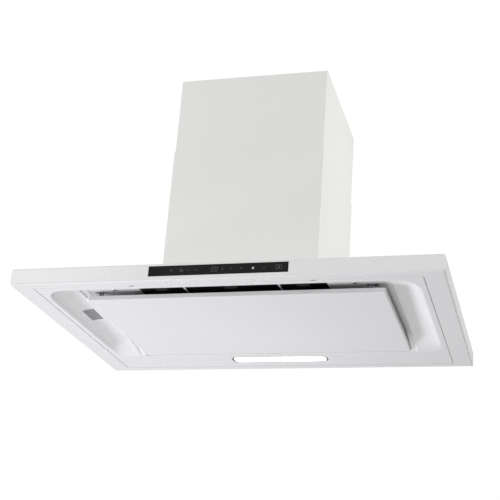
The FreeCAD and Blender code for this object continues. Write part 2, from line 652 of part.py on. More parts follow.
def volute_profile(grow):
    """Scroll outline: three quarter arcs of growing radius, then the straight outlet."""
    r = VOLUTE_START + grow
    ay, az = FAN_Y - VOLUTE_STEP / 2, FAN_Z - 4.0
    by, bz = ay + VOLUTE_STEP, az
    cy, cz = by, bz + VOLUTE_STEP
    rb, rc = r + VOLUTE_STEP, r + 2 * VOLUTE_STEP

    def on(y, z, radius, degrees):
        a = math.radians(degrees)
        return V(0, y + radius * math.cos(a), z + radius * math.sin(a))

    tongue = on(ay, az, r, TONGUE_ANGLE)
    tongue = V(0, tongue.y - grow * 1.3, tongue.z)
    start = on(ay, az, r, 90)
    bend = on(ay, az, r, 90 - 0.4 * (90 - TONGUE_ANGLE))
    left = on(ay, az, r, 180)
    bottom = on(by, bz, rb, 270)
    right = on(cy, cz, rc, 360)
    top = OUTLET_TOP
    wire = Part.Wire([
        Part.makeLine(V(0, tongue.y, top), tongue),
        Part.Arc(tongue, bend, start).toShape(),
        Part.Arc(start, on(ay, az, r, 135), left).toShape(),
        Part.Arc(left, on(by, bz, rb, 225), bottom).toShape(),
        Part.Arc(bottom, on(cy, cz, rc, 315), right).toShape(),
        Part.makeLine(right, V(0, right.y, top)),
        Part.makeLine(V(0, right.y, top), V(0, tongue.y, top)),
    ])
    return Part.Face(wire)


def volute():
    half = VOLUTE_HALF_WIDTH
    wall = VOLUTE_WALL
    outer = volute_profile(wall).extrude(V(2 * (half + wall), 0, 0))
    outer.translate(V(-half - wall, 0, 0))
    inner = volute_profile(0).extrude(V(2 * half, 0, 0))
    inner.translate(V(-half, 0, 0))
    body = outer.cut(inner)
    return body.cut(rod((-half - 5, FAN_Y, FAN_Z), (1, 0, 0), INLET_RADIUS, 2 * half + 10))


def volute_half(side):
    half = block(0, 200, -400, 400, -520, -100) if side > 0 else block(-200, 0, -400, 400, -520, -100)
    return volute().common(half)


def inlet_ring(side):
    """Bell-mouth ring around the air inlet of one side."""
    x0 = VOLUTE_HALF_WIDTH + VOLUTE_WALL
    flange = tube((x0, FAN_Y, FAN_Z), (1, 0, 0), INLET_RADIUS + 7, INLET_RADIUS - 2.5, 1.5)
    mouth = Part.makeCone(INLET_RADIUS - 1, INLET_RADIUS - 4, 10, V(x0, FAN_Y, FAN_Z), V(-1, 0, 0))
    bore = Part.makeCone(INLET_RADIUS - 2.5, INLET_RADIUS - 5.5, 10, V(x0, FAN_Y, FAN_Z), V(-1, 0, 0))
    ring = join([flange, mouth.cut(bore)])
    return ring if side > 0 else mirror_x(ring)


BLADE_COUNT = 36
BLADE_SLANT = 32.0
WHEEL_DISC = 2.0              # middle disc and end rings


def impeller():
    """Double-inlet wheel: hub disc, and on each side slanted blades held by an end ring."""
    half, r, disc_face = FAN_HALF_WIDTH, FAN_RADIUS, WHEEL_DISC / 2
    disc = rod((-disc_face, FAN_Y, FAN_Z), (1, 0, 0), r, WHEEL_DISC)
    hub = rod((-7, FAN_Y, FAN_Z), (1, 0, 0), 11, 20)
    bore = rod((-10, FAN_Y, FAN_Z), (1, 0, 0), SHAFT_RADIUS, 30)
    pieces = [join([disc, hub]).cut(bore)]
    for x in (-half, half - WHEEL_DISC):
        pieces.append(tube((x, FAN_Y, FAN_Z), (1, 0, 0), r, r - 11, WHEEL_DISC))
    for x0, x1 in ((-half + WHEEL_DISC, -disc_face), (disc_face, half - WHEEL_DISC)):
        for i in range(BLADE_COUNT):
            blade = block(x0, x1, -0.5, 0.5, r - 10.5, r - 0.6)
            blade.rotate(V(0, 0, r - 5.5), V(1, 0, 0), BLADE_SLANT)
            blade.rotate(V(0, 0, 0), V(1, 0, 0), 360.0 * i / BLADE_COUNT)
            blade.translate(V(0, FAN_Y, FAN_Z))
            pieces.append(blade)
    return group(pieces)


MOTOR_X0 = -98.0
MOTOR_X1 = -26.0


def motor_shaft():
    return rod((MOTOR_X0 + 4, FAN_Y, FAN_Z), (1, 0, 0), SHAFT_RADIUS, 112)


def motor_rotor():
    return tube((-80, FAN_Y, FAN_Z), (1, 0, 0), 19.5, SHAFT_RADIUS, 36)


def motor_stator():
    """Slotted iron ring with a winding head at each end."""
    ring = tube((-80, FAN_Y, FAN_Z), (1, 0, 0), MOTOR_RADIUS - 2, 20.2, 36)
    for i in range(12):
        slot = block(-81, -43, -2, 2, 22.5, 30)
        slot.rotate(V(0, 0, 0), V(1, 0, 0), 30 * i)
        slot.translate(V(0, FAN_Y, FAN_Z))
        ring = ring.cut(slot)
    windings = [tube((x, FAN_Y, FAN_Z), (1, 0, 0), 30, 22.5, 5) for x in (-85, -44)]
    return join([ring] + windings)


def motor_cup():
    """Deep-drawn motor can with a bearing seat in its closed end."""
    can = rod((-92, FAN_Y, FAN_Z), (1, 0, 0), MOTOR_RADIUS, MOTOR_X1 + 92)
    room = rod((-92, FAN_Y, FAN_Z), (1, 0, 0), MOTOR_RADIUS - 2, MOTOR_X1 + 92 - 2)
    nose = rod((MOTOR_X1 - 12, FAN_Y, FAN_Z), (1, 0, 0), 12, 12)
    can = join([can.cut(room), nose])
    return can.cut(rod((MOTOR_X1 - 13, FAN_Y, FAN_Z), (1, 0, 0), 8, 14))


def motor_cap():
    cap = rod((MOTOR_X0, FAN_Y, FAN_Z), (1, 0, 0), MOTOR_RADIUS, 6)
    boss = rod((MOTOR_X0 + 6, FAN_Y, FAN_Z), (1, 0, 0), 12, 4)
    return join([cap, boss]).cut(rod((MOTOR_X0 + 2, FAN_Y, FAN_Z), (1, 0, 0), 8, 9))


def bearing(x):
    return tube((x, FAN_Y, FAN_Z), (1, 0, 0), 8, SHAFT_RADIUS + SHAFT_FIT, 8)


ARM_REACH = 78.0
SPIDER_GAP = 7.5              # rubber bush between the spider and the volute


def motor_spider():
    """Ring round the motor with three arms that reach over the inlet to the volute wall."""
    x0 = -VOLUTE_HALF_WIDTH - VOLUTE_WALL - SPIDER_GAP
    pieces = [tube((x0 - 8, FAN_Y, FAN_Z), (1, 0, 0), MOTOR_RADIUS + 3, MOTOR_RADIUS, 10)]
    for angle in (90, 210, 330):
        arm = block(x0 - 2, x0, -6, 6, MOTOR_RADIUS + 1, ARM_REACH)
        arm.rotate(V(0, 0, 0), V(1, 0, 0), angle - 90)
        arm.translate(V(0, FAN_Y, FAN_Z))
        pieces.append(arm)
    spider = join(pieces)
    for y, z in spider_points():
        spider = spider.cut(rod((x0 - 3, y, z), (1, 0, 0), 2.1, 4))
    return spider


def spider_points():
    points = []
    for angle in (90, 210, 330):
        a = math.radians(angle)
        reach = ARM_REACH - 5
        points.append((FAN_Y + reach * math.cos(a), FAN_Z + reach * math.sin(a)))
    return points


def capacitor():
    """Motor run capacitor: a plastic can on a threaded stud, upright on the rear tie."""
    base = RAIL_TOP + 1.5
    can = rod((-50, 109, base), (0, 0, 1), 16, 58)
    can = can.makeFillet(2.0, [e for e in can.Edges if abs(e.CenterOfMass.z - base - 58) < 1e-3])
    tags = [block(x - 0.4, x + 0.4, 106, 112, base + 57, base + 66) for x in (-56, -44)]
    return join([can] + tags)


RAIL_TOP = TOP + RING_SHEET + 11


def blower_rail(side):
    """Channel that crosses the canopy opening and carries the blower."""
    rail = block(72, 96, -140, 140, TOP + RING_SHEET, RAIL_TOP)
    rail = rail.cut(block(73.5, 94.5, -141, 141, TOP + RING_SHEET - 1, RAIL_TOP - 1.5))
    return rail if side > 0 else mirror_x(rail)


def rear_tie():
    """Plate across both rails behind the blower that carries the capacitor and terminal box."""
    return block(-96, 96, 82, 136, RAIL_TOP, RAIL_TOP + 1.5)


FOOT_Y = (-86.0, 14.0)
MOUNT_HEIGHT = 8.0


def blower_foot(side):
    x0 = VOLUTE_HALF_WIDTH + VOLUTE_WALL
    z0 = RAIL_TOP + MOUNT_HEIGHT
    sole = block(x0, 96, FOOT_Y[0] - 10, FOOT_Y[1] + 10, z0, z0 + 2)
    wall = block(x0, x0 + 2, -64, -8, z0, FAN_Z - INLET_RADIUS - 10)
    foot = join([sole, wall])
    for y in FOOT_Y:
        foot = foot.cut(rod((84, y, z0 - 1), (0, 0, 1), 2.6, 5))
    return foot if side > 0 else mirror_x(foot)


def rubber_mounts():
    """Four buffers under the blower's feet and three bushes between motor spider and volute."""
    pieces = []
    for x in (-84, 84):
        for y in FOOT_Y:
            pieces.append(tube((x, y, RAIL_TOP), (0, 0, 1), 8, 2.6, MOUNT_HEIGHT))
    wall = -VOLUTE_HALF_WIDTH - VOLUTE_WALL
    for y, z in spider_points():
        pieces.append(tube((wall - SPIDER_GAP, y, z), (1, 0, 0), 5, 2.1, SPIDER_GAP))
    return group(pieces)


def blower_screws():
    """The screws through those seven mounts."""
    pieces = []
    for x in (-84, 84):
        for y in FOOT_Y:
            head = rod((x, y, RAIL_TOP + MOUNT_HEIGHT + 2), (0, 0, 1), 4.5, 3)
            shank = rod((x, y, RAIL_TOP), (0, 0, 1), 2.5, MOUNT_HEIGHT + 3)
            pieces.append(join([head, shank]))
    outside = -VOLUTE_HALF_WIDTH - VOLUTE_WALL - SPIDER_GAP - 2
    for y, z in spider_points():
        head = rod((outside - 2.5, y, z), (1, 0, 0), 4.0, 2.5)
        shank = rod((outside - 2.5, y, z), (1, 0, 0), 2.0, SPIDER_GAP + 4.5)
        pieces.append(join([head, shank]))
    return group(pieces)


TERMINAL = (-8.0, 84.0, 84.0, 134.0, RAIL_TOP + 1.5, RAIL_TOP + 46.5)


def terminal_box():
    x0, x1, y0, y1, z0, z1 = TERMINAL
    box = block(x0, x1, y0, y1, z0, z1 - 3)
    return box.cut(block(x0 + 2, x1 - 2, y0 + 2, y1 - 2, z0 + 2, z1))


def terminal_lid():
    x0, x1, y0, y1, z0, z1 = TERMINAL
    lid = block(x0, x1, y0, y1, z1 - 3, z1)
    return lid.cut(rod((x1 - 22, (y0 + y1) / 2, z1 - 4), (0, 0, 1), 8, 6))


def terminal_strip():
    x0, x1, y0, y1, z0, z1 = TERMINAL
    strip = block(x0 + 10, x0 + 58, y0 + 14, y0 + 32, z0 + 2, z0 + 18)
    for i in range(5):
        x = x0 + 15 + 9.5 * i
        strip = strip.cut(rod((x, y0 + 23, z0 + 10), (0, 0, 1), 2.6, 10))
    return strip


def cable_gland():
    """Supply lead inlet in the terminal box lid; its free end is where the lead comes in."""
    x0, x1, y0, y1, z0, z1 = TERMINAL
    x, y = x1 - 22, (y0 + y1) / 2
    thread = rod((x, y, z1 - 6), (0, 0, 1), 8, 6)
    nut = hexagon(V(x, y, z1), V(0, 0, 1), 11, 6)
    dome = rod((x, y, z1 + 6), (0, 0, 1), 8.5, 8)
    return join([thread, nut, dome]).cut(rod((x, y, z1 - 7), (0, 0, 1), 4.0, 22))


# ---- air outlet ---------------------------------------------------------------------------------
TRANSITION_HEIGHT = 40.0
SPIGOT_Z = OUTLET_TOP + TRANSITION_HEIGHT
SPIGOT_HEIGHT = 50.0
FLAP_Z = SPIGOT_Z + 16.0
FLAP_RADIUS = DUCT_RADIUS - 4.5
AXLE_RADIUS = 2.0
BARREL_RADIUS = 3.2


def square_wire(half_x, y0, y1, z):
    points = [V(half_x, y1, z), V(-half_x, y1, z), V(-half_x, y0, z), V(half_x, y0, z)]
    points.append(points[0])
    return Part.makePolygon(points)


def round_wire(radius, y, z):
    """Circle cut at its diagonals, so each quarter faces one side of the square below."""
    arcs = []
    for start in (45, 135, 225, 315):
        ends = [math.radians(start + step) for step in (0, 45, 90)]
        p = [V(radius * math.cos(a), y + radius * math.sin(a), z) for a in ends]
        arcs.append(Part.Arc(*p).toShape())
    return Part.Wire(arcs)


def outlet_transition():
    """Square-to-round adapter from the blower outlet to the spigot."""
    inner_y = (SPIGOT_Y - 39.0, SPIGOT_Y + 39.0)
    wall = VOLUTE_WALL
    half = VOLUTE_HALF_WIDTH
    z0, z1 = OUTLET_TOP, SPIGOT_Z
    outer = Part.makeLoft([square_wire(half + wall, inner_y[0] - wall, inner_y[1] + wall, z0),
                           round_wire(DUCT_RADIUS, SPIGOT_Y, z1)], True, True)
    inner = Part.makeLoft([square_wire(half, inner_y[0], inner_y[1], z0),
                           round_wire(DUCT_RADIUS - 2, SPIGOT_Y, z1)], True, True)
    return outer.cut(inner)


def duct_spigot():
    body = tube((0, SPIGOT_Y, SPIGOT_Z), (0, 0, 1), DUCT_RADIUS, DUCT_RADIUS - 2, SPIGOT_HEIGHT)
    collar = tube((0, SPIGOT_Y, SPIGOT_Z), (0, 0, 1), DUCT_RADIUS + 8, DUCT_RADIUS - 2, 2)
    stop = tube((0, SPIGOT_Y, FLAP_Z - 3.2), (0, 0, 1), DUCT_RADIUS - 1, FLAP_RADIUS - 2, 2)
    spigot = join([body, collar, stop])
    bore = rod((-DUCT_RADIUS - 5, SPIGOT_Y, FLAP_Z), (1, 0, 0), AXLE_RADIUS, 2 * DUCT_RADIUS + 10)
    return spigot.cut(bore)


def flap_axle():
    return rod((-DUCT_RADIUS + 0.5, SPIGOT_Y, FLAP_Z), (1, 0, 0), AXLE_RADIUS, 2 * DUCT_RADIUS - 1)


def damper_flap(side):
    """Half-round non-return flap with two barrels on the common axle."""
    disc = rod((0, 0, -0.6), (0, 0, 1), FLAP_RADIUS, 1.2)
    leaf = disc.common(block(-100, 100, 3.7, 100, -1, 1))
    spans = ((-62, -33), (2, 31)) if side > 0 else ((-31, -2), (33, 62))
    pieces = [leaf]
    for a, b in spans:
        pieces.append(rod((a, 0, 0), (1, 0, 0), BARREL_RADIUS, b - a))
        pieces.append(block(a, b, 0, 5, -0.6, 0.6))
    flap = join(pieces)
    flap = flap.cut(rod((-90, 0, 0), (1, 0, 0), AXLE_RADIUS + 0.06, 180))
    if side < 0:
        flap = flap.mirror(V(0, 0, 0), V(0, 1, 0))
    flap.translate(V(0, SPIGOT_Y, FLAP_Z))
    return flap


# ---- write every sub-part -----------------------------------------------------------------------
CORNERS = [(sx, sy) for sx in (-1, 1) for sy in (-1, 1)]


def pair(make):
    """The left and right copies of a mirrored piece, as one node."""
    return group([make(-1), make(1)])


save("ceiling_plate", ceiling_plate())
save("upper_legs", group([at_corner(upper_leg(), sx, sy) for sx, sy in CORNERS]))
save("lower_legs", group([at_corner(lower_leg(), sx, sy) for sx, sy in CORNERS]))
save("frame_braces", pair(brace))
save("canopy_ring", canopy_ring())
save("frame_bolts", group(leg_bolts() + ring_bolts()))
save("lower_chimney", lower_chimney())
save("upper_chimney", upper_chimney())
save("canopy_shell", canopy_shell())
save("underside_pan", underside_pan())
save("pan_rails", pair(pan_rail))
save("sheet_screws", group(chimney_screws() + pan_screws()))
save("rating_label", rating_label())

save("suction_panel", suction_panel())
save("panel_lining", panel_lining())
save("panel_ears", pair(panel_ears))
save("hinge_brackets", pair(hinge_bracket))
save("hinge_pins", pair(hinge_pin))
save("panel_strikers", pair(striker))
save("panel_catches", pair(catch))

save("filter_frame", filter_frame())
for bay in BAYS:
    save("grease_filter_" + bay, cassette(bay))
    save("filter_latch_" + bay, filter_latch(bay))
save("filter_meshes", group([filter_mesh(bay) for bay in BAYS]))

save("control_glass", control_glass())
save("control_carrier", control_carrier())
save("touch_board", touch_board())
save("lamp_lens", lamp_lens())
save("lamp_housing", lamp_housing())
save("lamp_board", lamp_board())

save("volute_left", volute_half(-1))
save("volute_right", volute_half(1))
save("inlet_rings", pair(inlet_ring))
save("impeller", impeller())
save("motor_shaft", motor_shaft())
save("motor_rotor", motor_rotor())
save("motor_stator", motor_stator())
save("motor_cup", motor_cup())
save("motor_cap", motor_cap())
save("motor_bearings", group([bearing(MOTOR_X0 + 2), bearing(MOTOR_X1 - 8)]))
save("motor_spider", motor_spider())
save("blower_feet", pair(blower_foot))
save("blower_rails", pair(blower_rail))
save("rubber_mounts", rubber_mounts())
save("blower_screws", blower_screws())
save("capacitor", capacitor())
save("rear_tie", rear_tie())
save("terminal_box", terminal_box())
save("terminal_lid", terminal_lid())
save("terminal_strip", terminal_strip())
save("cable_gland", cable_gland())

save("outlet_transition", outlet_transition())
save("duct_spigot", duct_spigot())
save("flap_axle", flap_axle())
save("damper_flap_front", damper_flap(-1))
save("damper_flap_rear", damper_flap(1))
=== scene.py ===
"""Looks for the island range hood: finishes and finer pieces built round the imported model."""
import bmesh
import bpy
import math
from mathutils import Matrix, Vector


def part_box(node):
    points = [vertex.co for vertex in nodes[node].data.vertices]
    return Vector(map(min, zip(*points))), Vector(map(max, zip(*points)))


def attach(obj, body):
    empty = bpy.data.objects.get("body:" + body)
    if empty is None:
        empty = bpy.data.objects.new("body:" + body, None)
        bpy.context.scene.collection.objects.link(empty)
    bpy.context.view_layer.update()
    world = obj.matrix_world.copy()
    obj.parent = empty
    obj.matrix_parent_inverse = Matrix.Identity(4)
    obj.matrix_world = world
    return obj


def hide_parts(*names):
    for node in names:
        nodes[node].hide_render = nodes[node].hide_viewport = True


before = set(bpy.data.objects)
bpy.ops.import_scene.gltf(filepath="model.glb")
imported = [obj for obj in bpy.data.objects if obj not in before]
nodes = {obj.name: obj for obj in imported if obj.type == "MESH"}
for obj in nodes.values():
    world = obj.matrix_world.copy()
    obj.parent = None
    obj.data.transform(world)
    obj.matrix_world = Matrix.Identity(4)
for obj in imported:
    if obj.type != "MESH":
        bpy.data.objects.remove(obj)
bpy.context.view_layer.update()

# ---- Ceiling frame -------------------------------------------------------------------------------
# The plate screwed to the ceiling, the nested corner angles that set the drop, their braces and the
# ring that clamps the canopy. Cut and folded from galvanised sheet, so its zinc crystals show.


def add(tree, kind, plugs=None, **settings):
    """Puts one node in a tree; a plug is a plain value or another node's output."""
    made = tree.nodes.new(kind)
    for name, value in settings.items():
        setattr(made, name, value)
    for name, value in (plugs or {}).items():
        if isinstance(value, bpy.types.NodeSocket):
            tree.links.new(value, made.inputs[name])
        else:
            made.inputs[name].default_value = value
    return made


def effect(name, takes, gives):
    """An empty shader group with named inputs and outputs, and where its nodes plug in."""
    tree = bpy.data.node_groups.new(name, "ShaderNodeTree")
    for label, value in takes.items():
        socket = tree.interface.new_socket(label, in_out="INPUT", socket_type="NodeSocketFloat")
        socket.default_value = value
    for label, kind in gives.items():
        tree.interface.new_socket(label, in_out="OUTPUT", socket_type="NodeSocket" + kind)
    return tree, tree.nodes.new("NodeGroupInput").outputs, tree.nodes.new("NodeGroupOutput").inputs


def maths(tree, operation, first, second=0.0):
    return add(tree, "ShaderNodeMath", {0: first, 1: second}, operation=operation).outputs[0]


def spread(tree, value, low, high, start=0.0, end=1.0):
    """Maps a value from start..end to low..high, held at the ends."""
    plugs = {"Value": value, "From Min": start, "From Max": end, "To Min": low, "To Max": high}
    return add(tree, "ShaderNodeMapRange", plugs).outputs[0]


def blend(tree, share, first, second):
    plugs = {0: share, 6: first, 7: second}
    return add(tree, "ShaderNodeMix", plugs, data_type="RGBA").outputs[2]


def finish(name, **plain):
    """A material, its tree and its Principled shader with plain values on the shader's sockets."""
    made = bpy.data.materials.new(name)
    made.use_nodes = True
    shader = made.node_tree.nodes["Principled BSDF"]
    for label, value in plain.items():
        shader.inputs[label.replace("_", " ")].default_value = value
    return made, made.node_tree, shader


def join(tree, shader, **plugs):
    for label, value in plugs.items():
        tree.links.new(value, shader.inputs[label.replace("_", " ")])


def relief(tree, shader, height, depth, normal=None):
    """Bump of a given depth in metres; a softened edge normal may lie under it."""
    bump = add(tree, "ShaderNodeBump", {"Height": height, "Distance": depth, "Strength": 1.0})
    if normal is not None:
        tree.links.new(normal, bump.inputs["Normal"])
    tree.links.new(bump.outputs[0], shader.inputs["Normal"])


def coat(made, *names):
    for name in names:
        for slot in nodes[name].material_slots:
            slot.material = made


# Cloud: slow drift and fine speckle, for colour and gloss that are never quite even.
cloud, cloud_in, cloud_out = effect("cloud", {"Patch": 0.1}, {"Drift": "Float", "Speckle": "Float"})
place = add(cloud, "ShaderNodeTexCoord").outputs["Object"]
turns = maths(cloud, "DIVIDE", 1.0, cloud_in["Patch"])
drift = add(cloud, "ShaderNodeTexNoise", {"Vector": place, "Scale": turns, "Detail": 3.0})
speckle_turns = maths(cloud, "MULTIPLY", turns, 24.0)
speckle = add(cloud, "ShaderNodeTexNoise", {"Vector": place, "Scale": speckle_turns, "Detail": 2.0})
cloud.links.new(drift.outputs[0], cloud_out["Drift"])
cloud.links.new(speckle.outputs[0], cloud_out["Speckle"])

# Edge: softened normal and a mask of outer edges and inner creases: outer edges are where a finish
# wears or thins, and where a finish darkens on the mask its creases carry painted shade.
edge, edge_in, edge_out = effect("edge", {"Width": 0.0006}, {"Edges_And_Creases": "Float", "Soft": "Vector"})
soft = add(edge, "ShaderNodeBevel", {"Radius": edge_in["Width"]}, samples=4)
flat = add(edge, "ShaderNodeNewGeometry").outputs["Normal"]
turned = add(edge, "ShaderNodeVectorMath", {0: soft.outputs[0], 1: flat}, operation="DOT_PRODUCT")
edge.links.new(spread(edge, turned.outputs["Value"], 1.0, 0.0, 0.86, 0.995), edge_out["Edges_And_Creases"])
edge.links.new(soft.outputs[0], edge_out["Soft"])

# Dust: a thin settled layer on whatever faces up.
dust, dust_in, dust_out = effect("dust", {"Patch": 0.03}, {"Layer": "Float"})
up = add(dust, "ShaderNodeSeparateXYZ", {0: add(dust, "ShaderNodeNewGeometry").outputs["Normal"]})
lying = spread(dust, up.outputs["Z"], 0.0, 1.0, 0.6, 1.0)
dust_turns = maths(dust, "DIVIDE", 1.0, dust_in["Patch"])
dust_place = add(dust, "ShaderNodeTexCoord").outputs["Object"]
dust_noise = add(dust, "ShaderNodeTexNoise",
                 {"Vector": dust_place, "Scale": dust_turns, "Detail": 5.0, "Roughness": 0.65})
layer = maths(dust, "MULTIPLY", lying, spread(dust, dust_noise.outputs[0], 0.3, 1.0, 0.35, 0.65))
dust.links.new(layer, dust_out["Layer"])

DUST = (0.56, 0.54, 0.50, 1)
ZINC = (0.60, 0.62, 0.64, 1)
ZINC_DARK = (0.43, 0.46, 0.49, 1)


def galvanised(name, crystal, low, high):
    """Hot-dip zinc: patchy crystals, each with its own tint and gloss, and a little dust."""
    made, tree, shader = finish(name, Metallic=1.0)
    spot = add(tree, "ShaderNodeTexCoord").outputs["Object"]
    bent = add(tree, "ShaderNodeTexNoise", {"Vector": spot, "Scale": 0.6 / crystal, "Detail": 2.0})
    pull = add(tree, "ShaderNodeVectorMath",
               {0: bent.outputs["Color"], "Scale": crystal * 0.9}, operation="SCALE")
    moved = add(tree, "ShaderNodeVectorMath", {0: spot, 1: pull.outputs[0]}, operation="ADD")
    grains = add(tree, "ShaderNodeTexVoronoi", {"Vector": moved.outputs[0], "Scale": 1 / crystal})
    tint = add(tree, "ShaderNodeSeparateColor", {0: grains.outputs["Color"]}).outputs[0]
    patches = add(tree, "ShaderNodeGroup", {"Patch": 0.05}, node_tree=cloud)
    edges = add(tree, "ShaderNodeGroup", {"Width": 0.0005}, node_tree=edge)
    settled = add(tree, "ShaderNodeGroup", {"Patch": 0.03}, node_tree=dust).outputs[0]
    metal = blend(tree, tint, ZINC_DARK, ZINC)
    metal = blend(tree, maths(tree, "MULTIPLY", edges.outputs["Edges_And_Creases"], 0.5), metal, (0.8, 0.8, 0.8, 1))
    dusty = maths(tree, "MULTIPLY", settled, 0.35)
    gloss = maths(tree, "ADD", spread(tree, tint, low, high), dusty)
    gloss = maths(tree, "ADD", gloss, spread(tree, patches.outputs["Drift"], -0.06, 0.06, 0.3, 0.7))
    join(tree, shader, Base_Color=blend(tree, dusty, metal, DUST), Roughness=gloss,
         Metallic=spread(tree, dusty, 1.0, 0.6))
    relief(tree, shader, grains.outputs["Distance"], 0.00002, edges.outputs["Soft"])
    return made


coat(galvanised("galvanised_sheet", 0.008, 0.30, 0.48), "ceiling_plate", "upper_legs",
     "lower_legs", "frame_braces", "canopy_ring", "pan_rails", "blower_rails", "blower_feet",
     "rear_tie", "hinge_brackets", "panel_ears")

# ---- Screws, studs and nuts ----------------------------------------------------------------------
# Bought fasteners of rolled and headed steel, bright zinc plated with a faint yellow-blue
# passivated film, that hold the frame, the blower and the pan.
plated, tree, shader = finish("bright_zinc", Metallic=1.0)
patches = add(tree, "ShaderNodeGroup", {"Patch": 0.006}, node_tree=cloud)
edges = add(tree, "ShaderNodeGroup", {"Width": 0.0003}, node_tree=edge)
film = blend(tree, spread(tree, patches.outputs["Drift"], 0, 1, 0.35, 0.65),
             (0.66, 0.68, 0.72, 1), (0.72, 0.71, 0.66, 1))
film = blend(tree, maths(tree, "MULTIPLY", edges.outputs["Edges_And_Creases"], 0.6), film, (0.85, 0.85, 0.85, 1))
join(tree, shader, Base_Color=film,
     Roughness=spread(tree, patches.outputs["Speckle"], 0.20, 0.38, 0.3, 0.7))
relief(tree, shader, patches.outputs["Speckle"], 0.00001, edges.outputs["Soft"])
coat(plated, "frame_bolts", "sheet_screws", "blower_screws")

# ---- Chimney -------------------------------------------------------------------------------------
# Two telescoping square tubes folded from steel sheet and powder coated white; the lower one stands
# on the canopy and slides up over the upper one, which is screwed to the ceiling plate's tab.
# The chimney's white is a little lighter and warmer than the canopy's: painted warm light from above
# and the front.
WARM_LIT_WHITE = (0.850, 0.855, 0.830, 1)
WARM_LIT_WHITE_DEEP = (0.835, 0.840, 0.816, 1)


def powder_coat(name, main, deep, gloss=0.30):
    """Baked powder: fine orange peel, slight drift in shade and gloss, thin at the edges, and painted
    shade in its seams and creases.
    """
    made, tree, shader = finish(name, Coat_Roughness=0.12, Specular_IOR_Level=0.5)
    spot = add(tree, "ShaderNodeTexCoord").outputs["Object"]
    patches = add(tree, "ShaderNodeGroup", {"Patch": 0.16}, node_tree=cloud)
    edges = add(tree, "ShaderNodeGroup", {"Width": 0.0009}, node_tree=edge)
    settled = add(tree, "ShaderNodeGroup", {"Patch": 0.05}, node_tree=dust).outputs[0]
    peel = add(tree, "ShaderNodeTexNoise", {"Vector": spot, "Scale": 520.0, "Detail": 2.0})
    paint = blend(tree, spread(tree, patches.outputs["Drift"], 0, 1, 0.2, 0.8), main, deep)
    # Greyer along outer edges, where the powder is thin, and in seams and creases, which is painted
    # shade.
    thin_edge_and_crease_shade = maths(tree, "MULTIPLY", edges.outputs["Edges_And_Creases"], 0.22)
    paint = blend(tree, thin_edge_and_crease_shade, paint, (0.70, 0.70, 0.69, 1))
    dusty = maths(tree, "MULTIPLY", settled, 0.16)
    even = spread(tree, patches.outputs["Drift"], gloss - 0.03, gloss + 0.04, 0.2, 0.8)
    even = maths(tree, "ADD", even, spread(tree, patches.outputs["Speckle"], -0.006, 0.006, 0.3, 0.7))
    join(tree, shader, Base_Color=blend(tree, dusty, paint, DUST),
         Roughness=maths(tree, "ADD", even, dusty),
         Coat_Weight=spread(tree, dusty, 0.35, 0.0, 0.0, 0.12))
    relief(tree, shader, peel.outputs[0], 0.000003)
    return made


coat(powder_coat("chimney_white_warm_lit", WARM_LIT_WHITE, WARM_LIT_WHITE_DEEP), "upper_chimney", "lower_chimney")

# ---- Canopy --------------------------------------------------------------------------------------
# Shallow folded box with soft edges and a return flange under it, in the same white powder coat.
# Its front carries the touch glass, and the underside pan sits in its mouth.
# The canopy's white is a little darker and cooler than the chimney's: painted cool light from below.
canopy_white_cool_lit = powder_coat("canopy_white_cool_lit", (0.835, 0.835, 0.840, 1), (0.820, 0.820, 0.826, 1), 0.27)
coat(canopy_white_cool_lit, "canopy_shell", "filter_frame")

# ---- Underside pan -------------------------------------------------------------------------------
# One sheet pressed from steel: a deep pocket under the suction panel, an air channel and a hollowed
# scoop on each side, a window for the lamp and two lifting slots. Powder coated with the canopy.
MM = 0.001
pan_low, pan_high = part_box("underside_pan")
RIM = pan_low.z
PAN_HALF = (pan_high.x / MM + 0.4, pan_high.y / MM + 0.4)
PAN_SHEET = 1.2
POCKET_HALF, POCKET_FRONT, POCKET_REAR, POCKET_DEPTH = 322.0, -258.0, 182.0, 22.0
CHANNEL_HALF, CHANNEL_RAMP = 336.0, 85.0
SCOOP_HALF, SCOOP_RAMP, SCOOP_END, SCOOP_COVE, SCOOP_CORNER = 392.0, 100.0, 181.0, 56.0, 45.0
SCOOP_DEPTHS = (20.0, 14.0)
WALL = 3.5                     # run of a drawn wall from lip to root
OPENING = (201.5, -206.5, 151.5)
LAMP_WINDOW = (117.0, 203.0, 247.0)
WINDOW_CORNER = 17.0
NOTCH = (185.0, 195.0, -270.5)


def swell(share):
    """Eased step from 0 to 1, level at both ends, as a drawn lip and root are."""
    share = min(max(share, 0.0), 1.0)
    return share * share * (3 - 2 * share)


def hollowed(share):
    """Quarter-round from 0 to 1: steep next to the rim's small lip, level at the root."""
    share = min(max(share, 0.0), 1.0)
    eased = 1.08 * share * share / (share + 0.08)
    return math.sqrt(max(0.0, 1 - (1 - eased) ** 2))


def sloped(y, first, ramp_depth, ramp, last):
    """Roof depth: first at the pocket's front, ramp_depth where the ramp starts, none at its end."""
    def plain(at):
        if at < ramp:
            return first + (ramp_depth - first) * (at - POCKET_FRONT) / (ramp - POCKET_FRONT)
        return max(0.0, ramp_depth * (last - at) / (last - ramp))
    reach = min(12.0, max(0.0, last - y))
    return sum(plain(y + reach * step) for step in (-1, -0.5, 0, 0.5, 1)) / 5


def deeper(first, second, round_off=1.4):
    """The deeper of two hollows, with the edge between them rounded."""
    apart = math.hypot(first - second, round_off)
    return 0.5 * (first + second + apart - round_off)


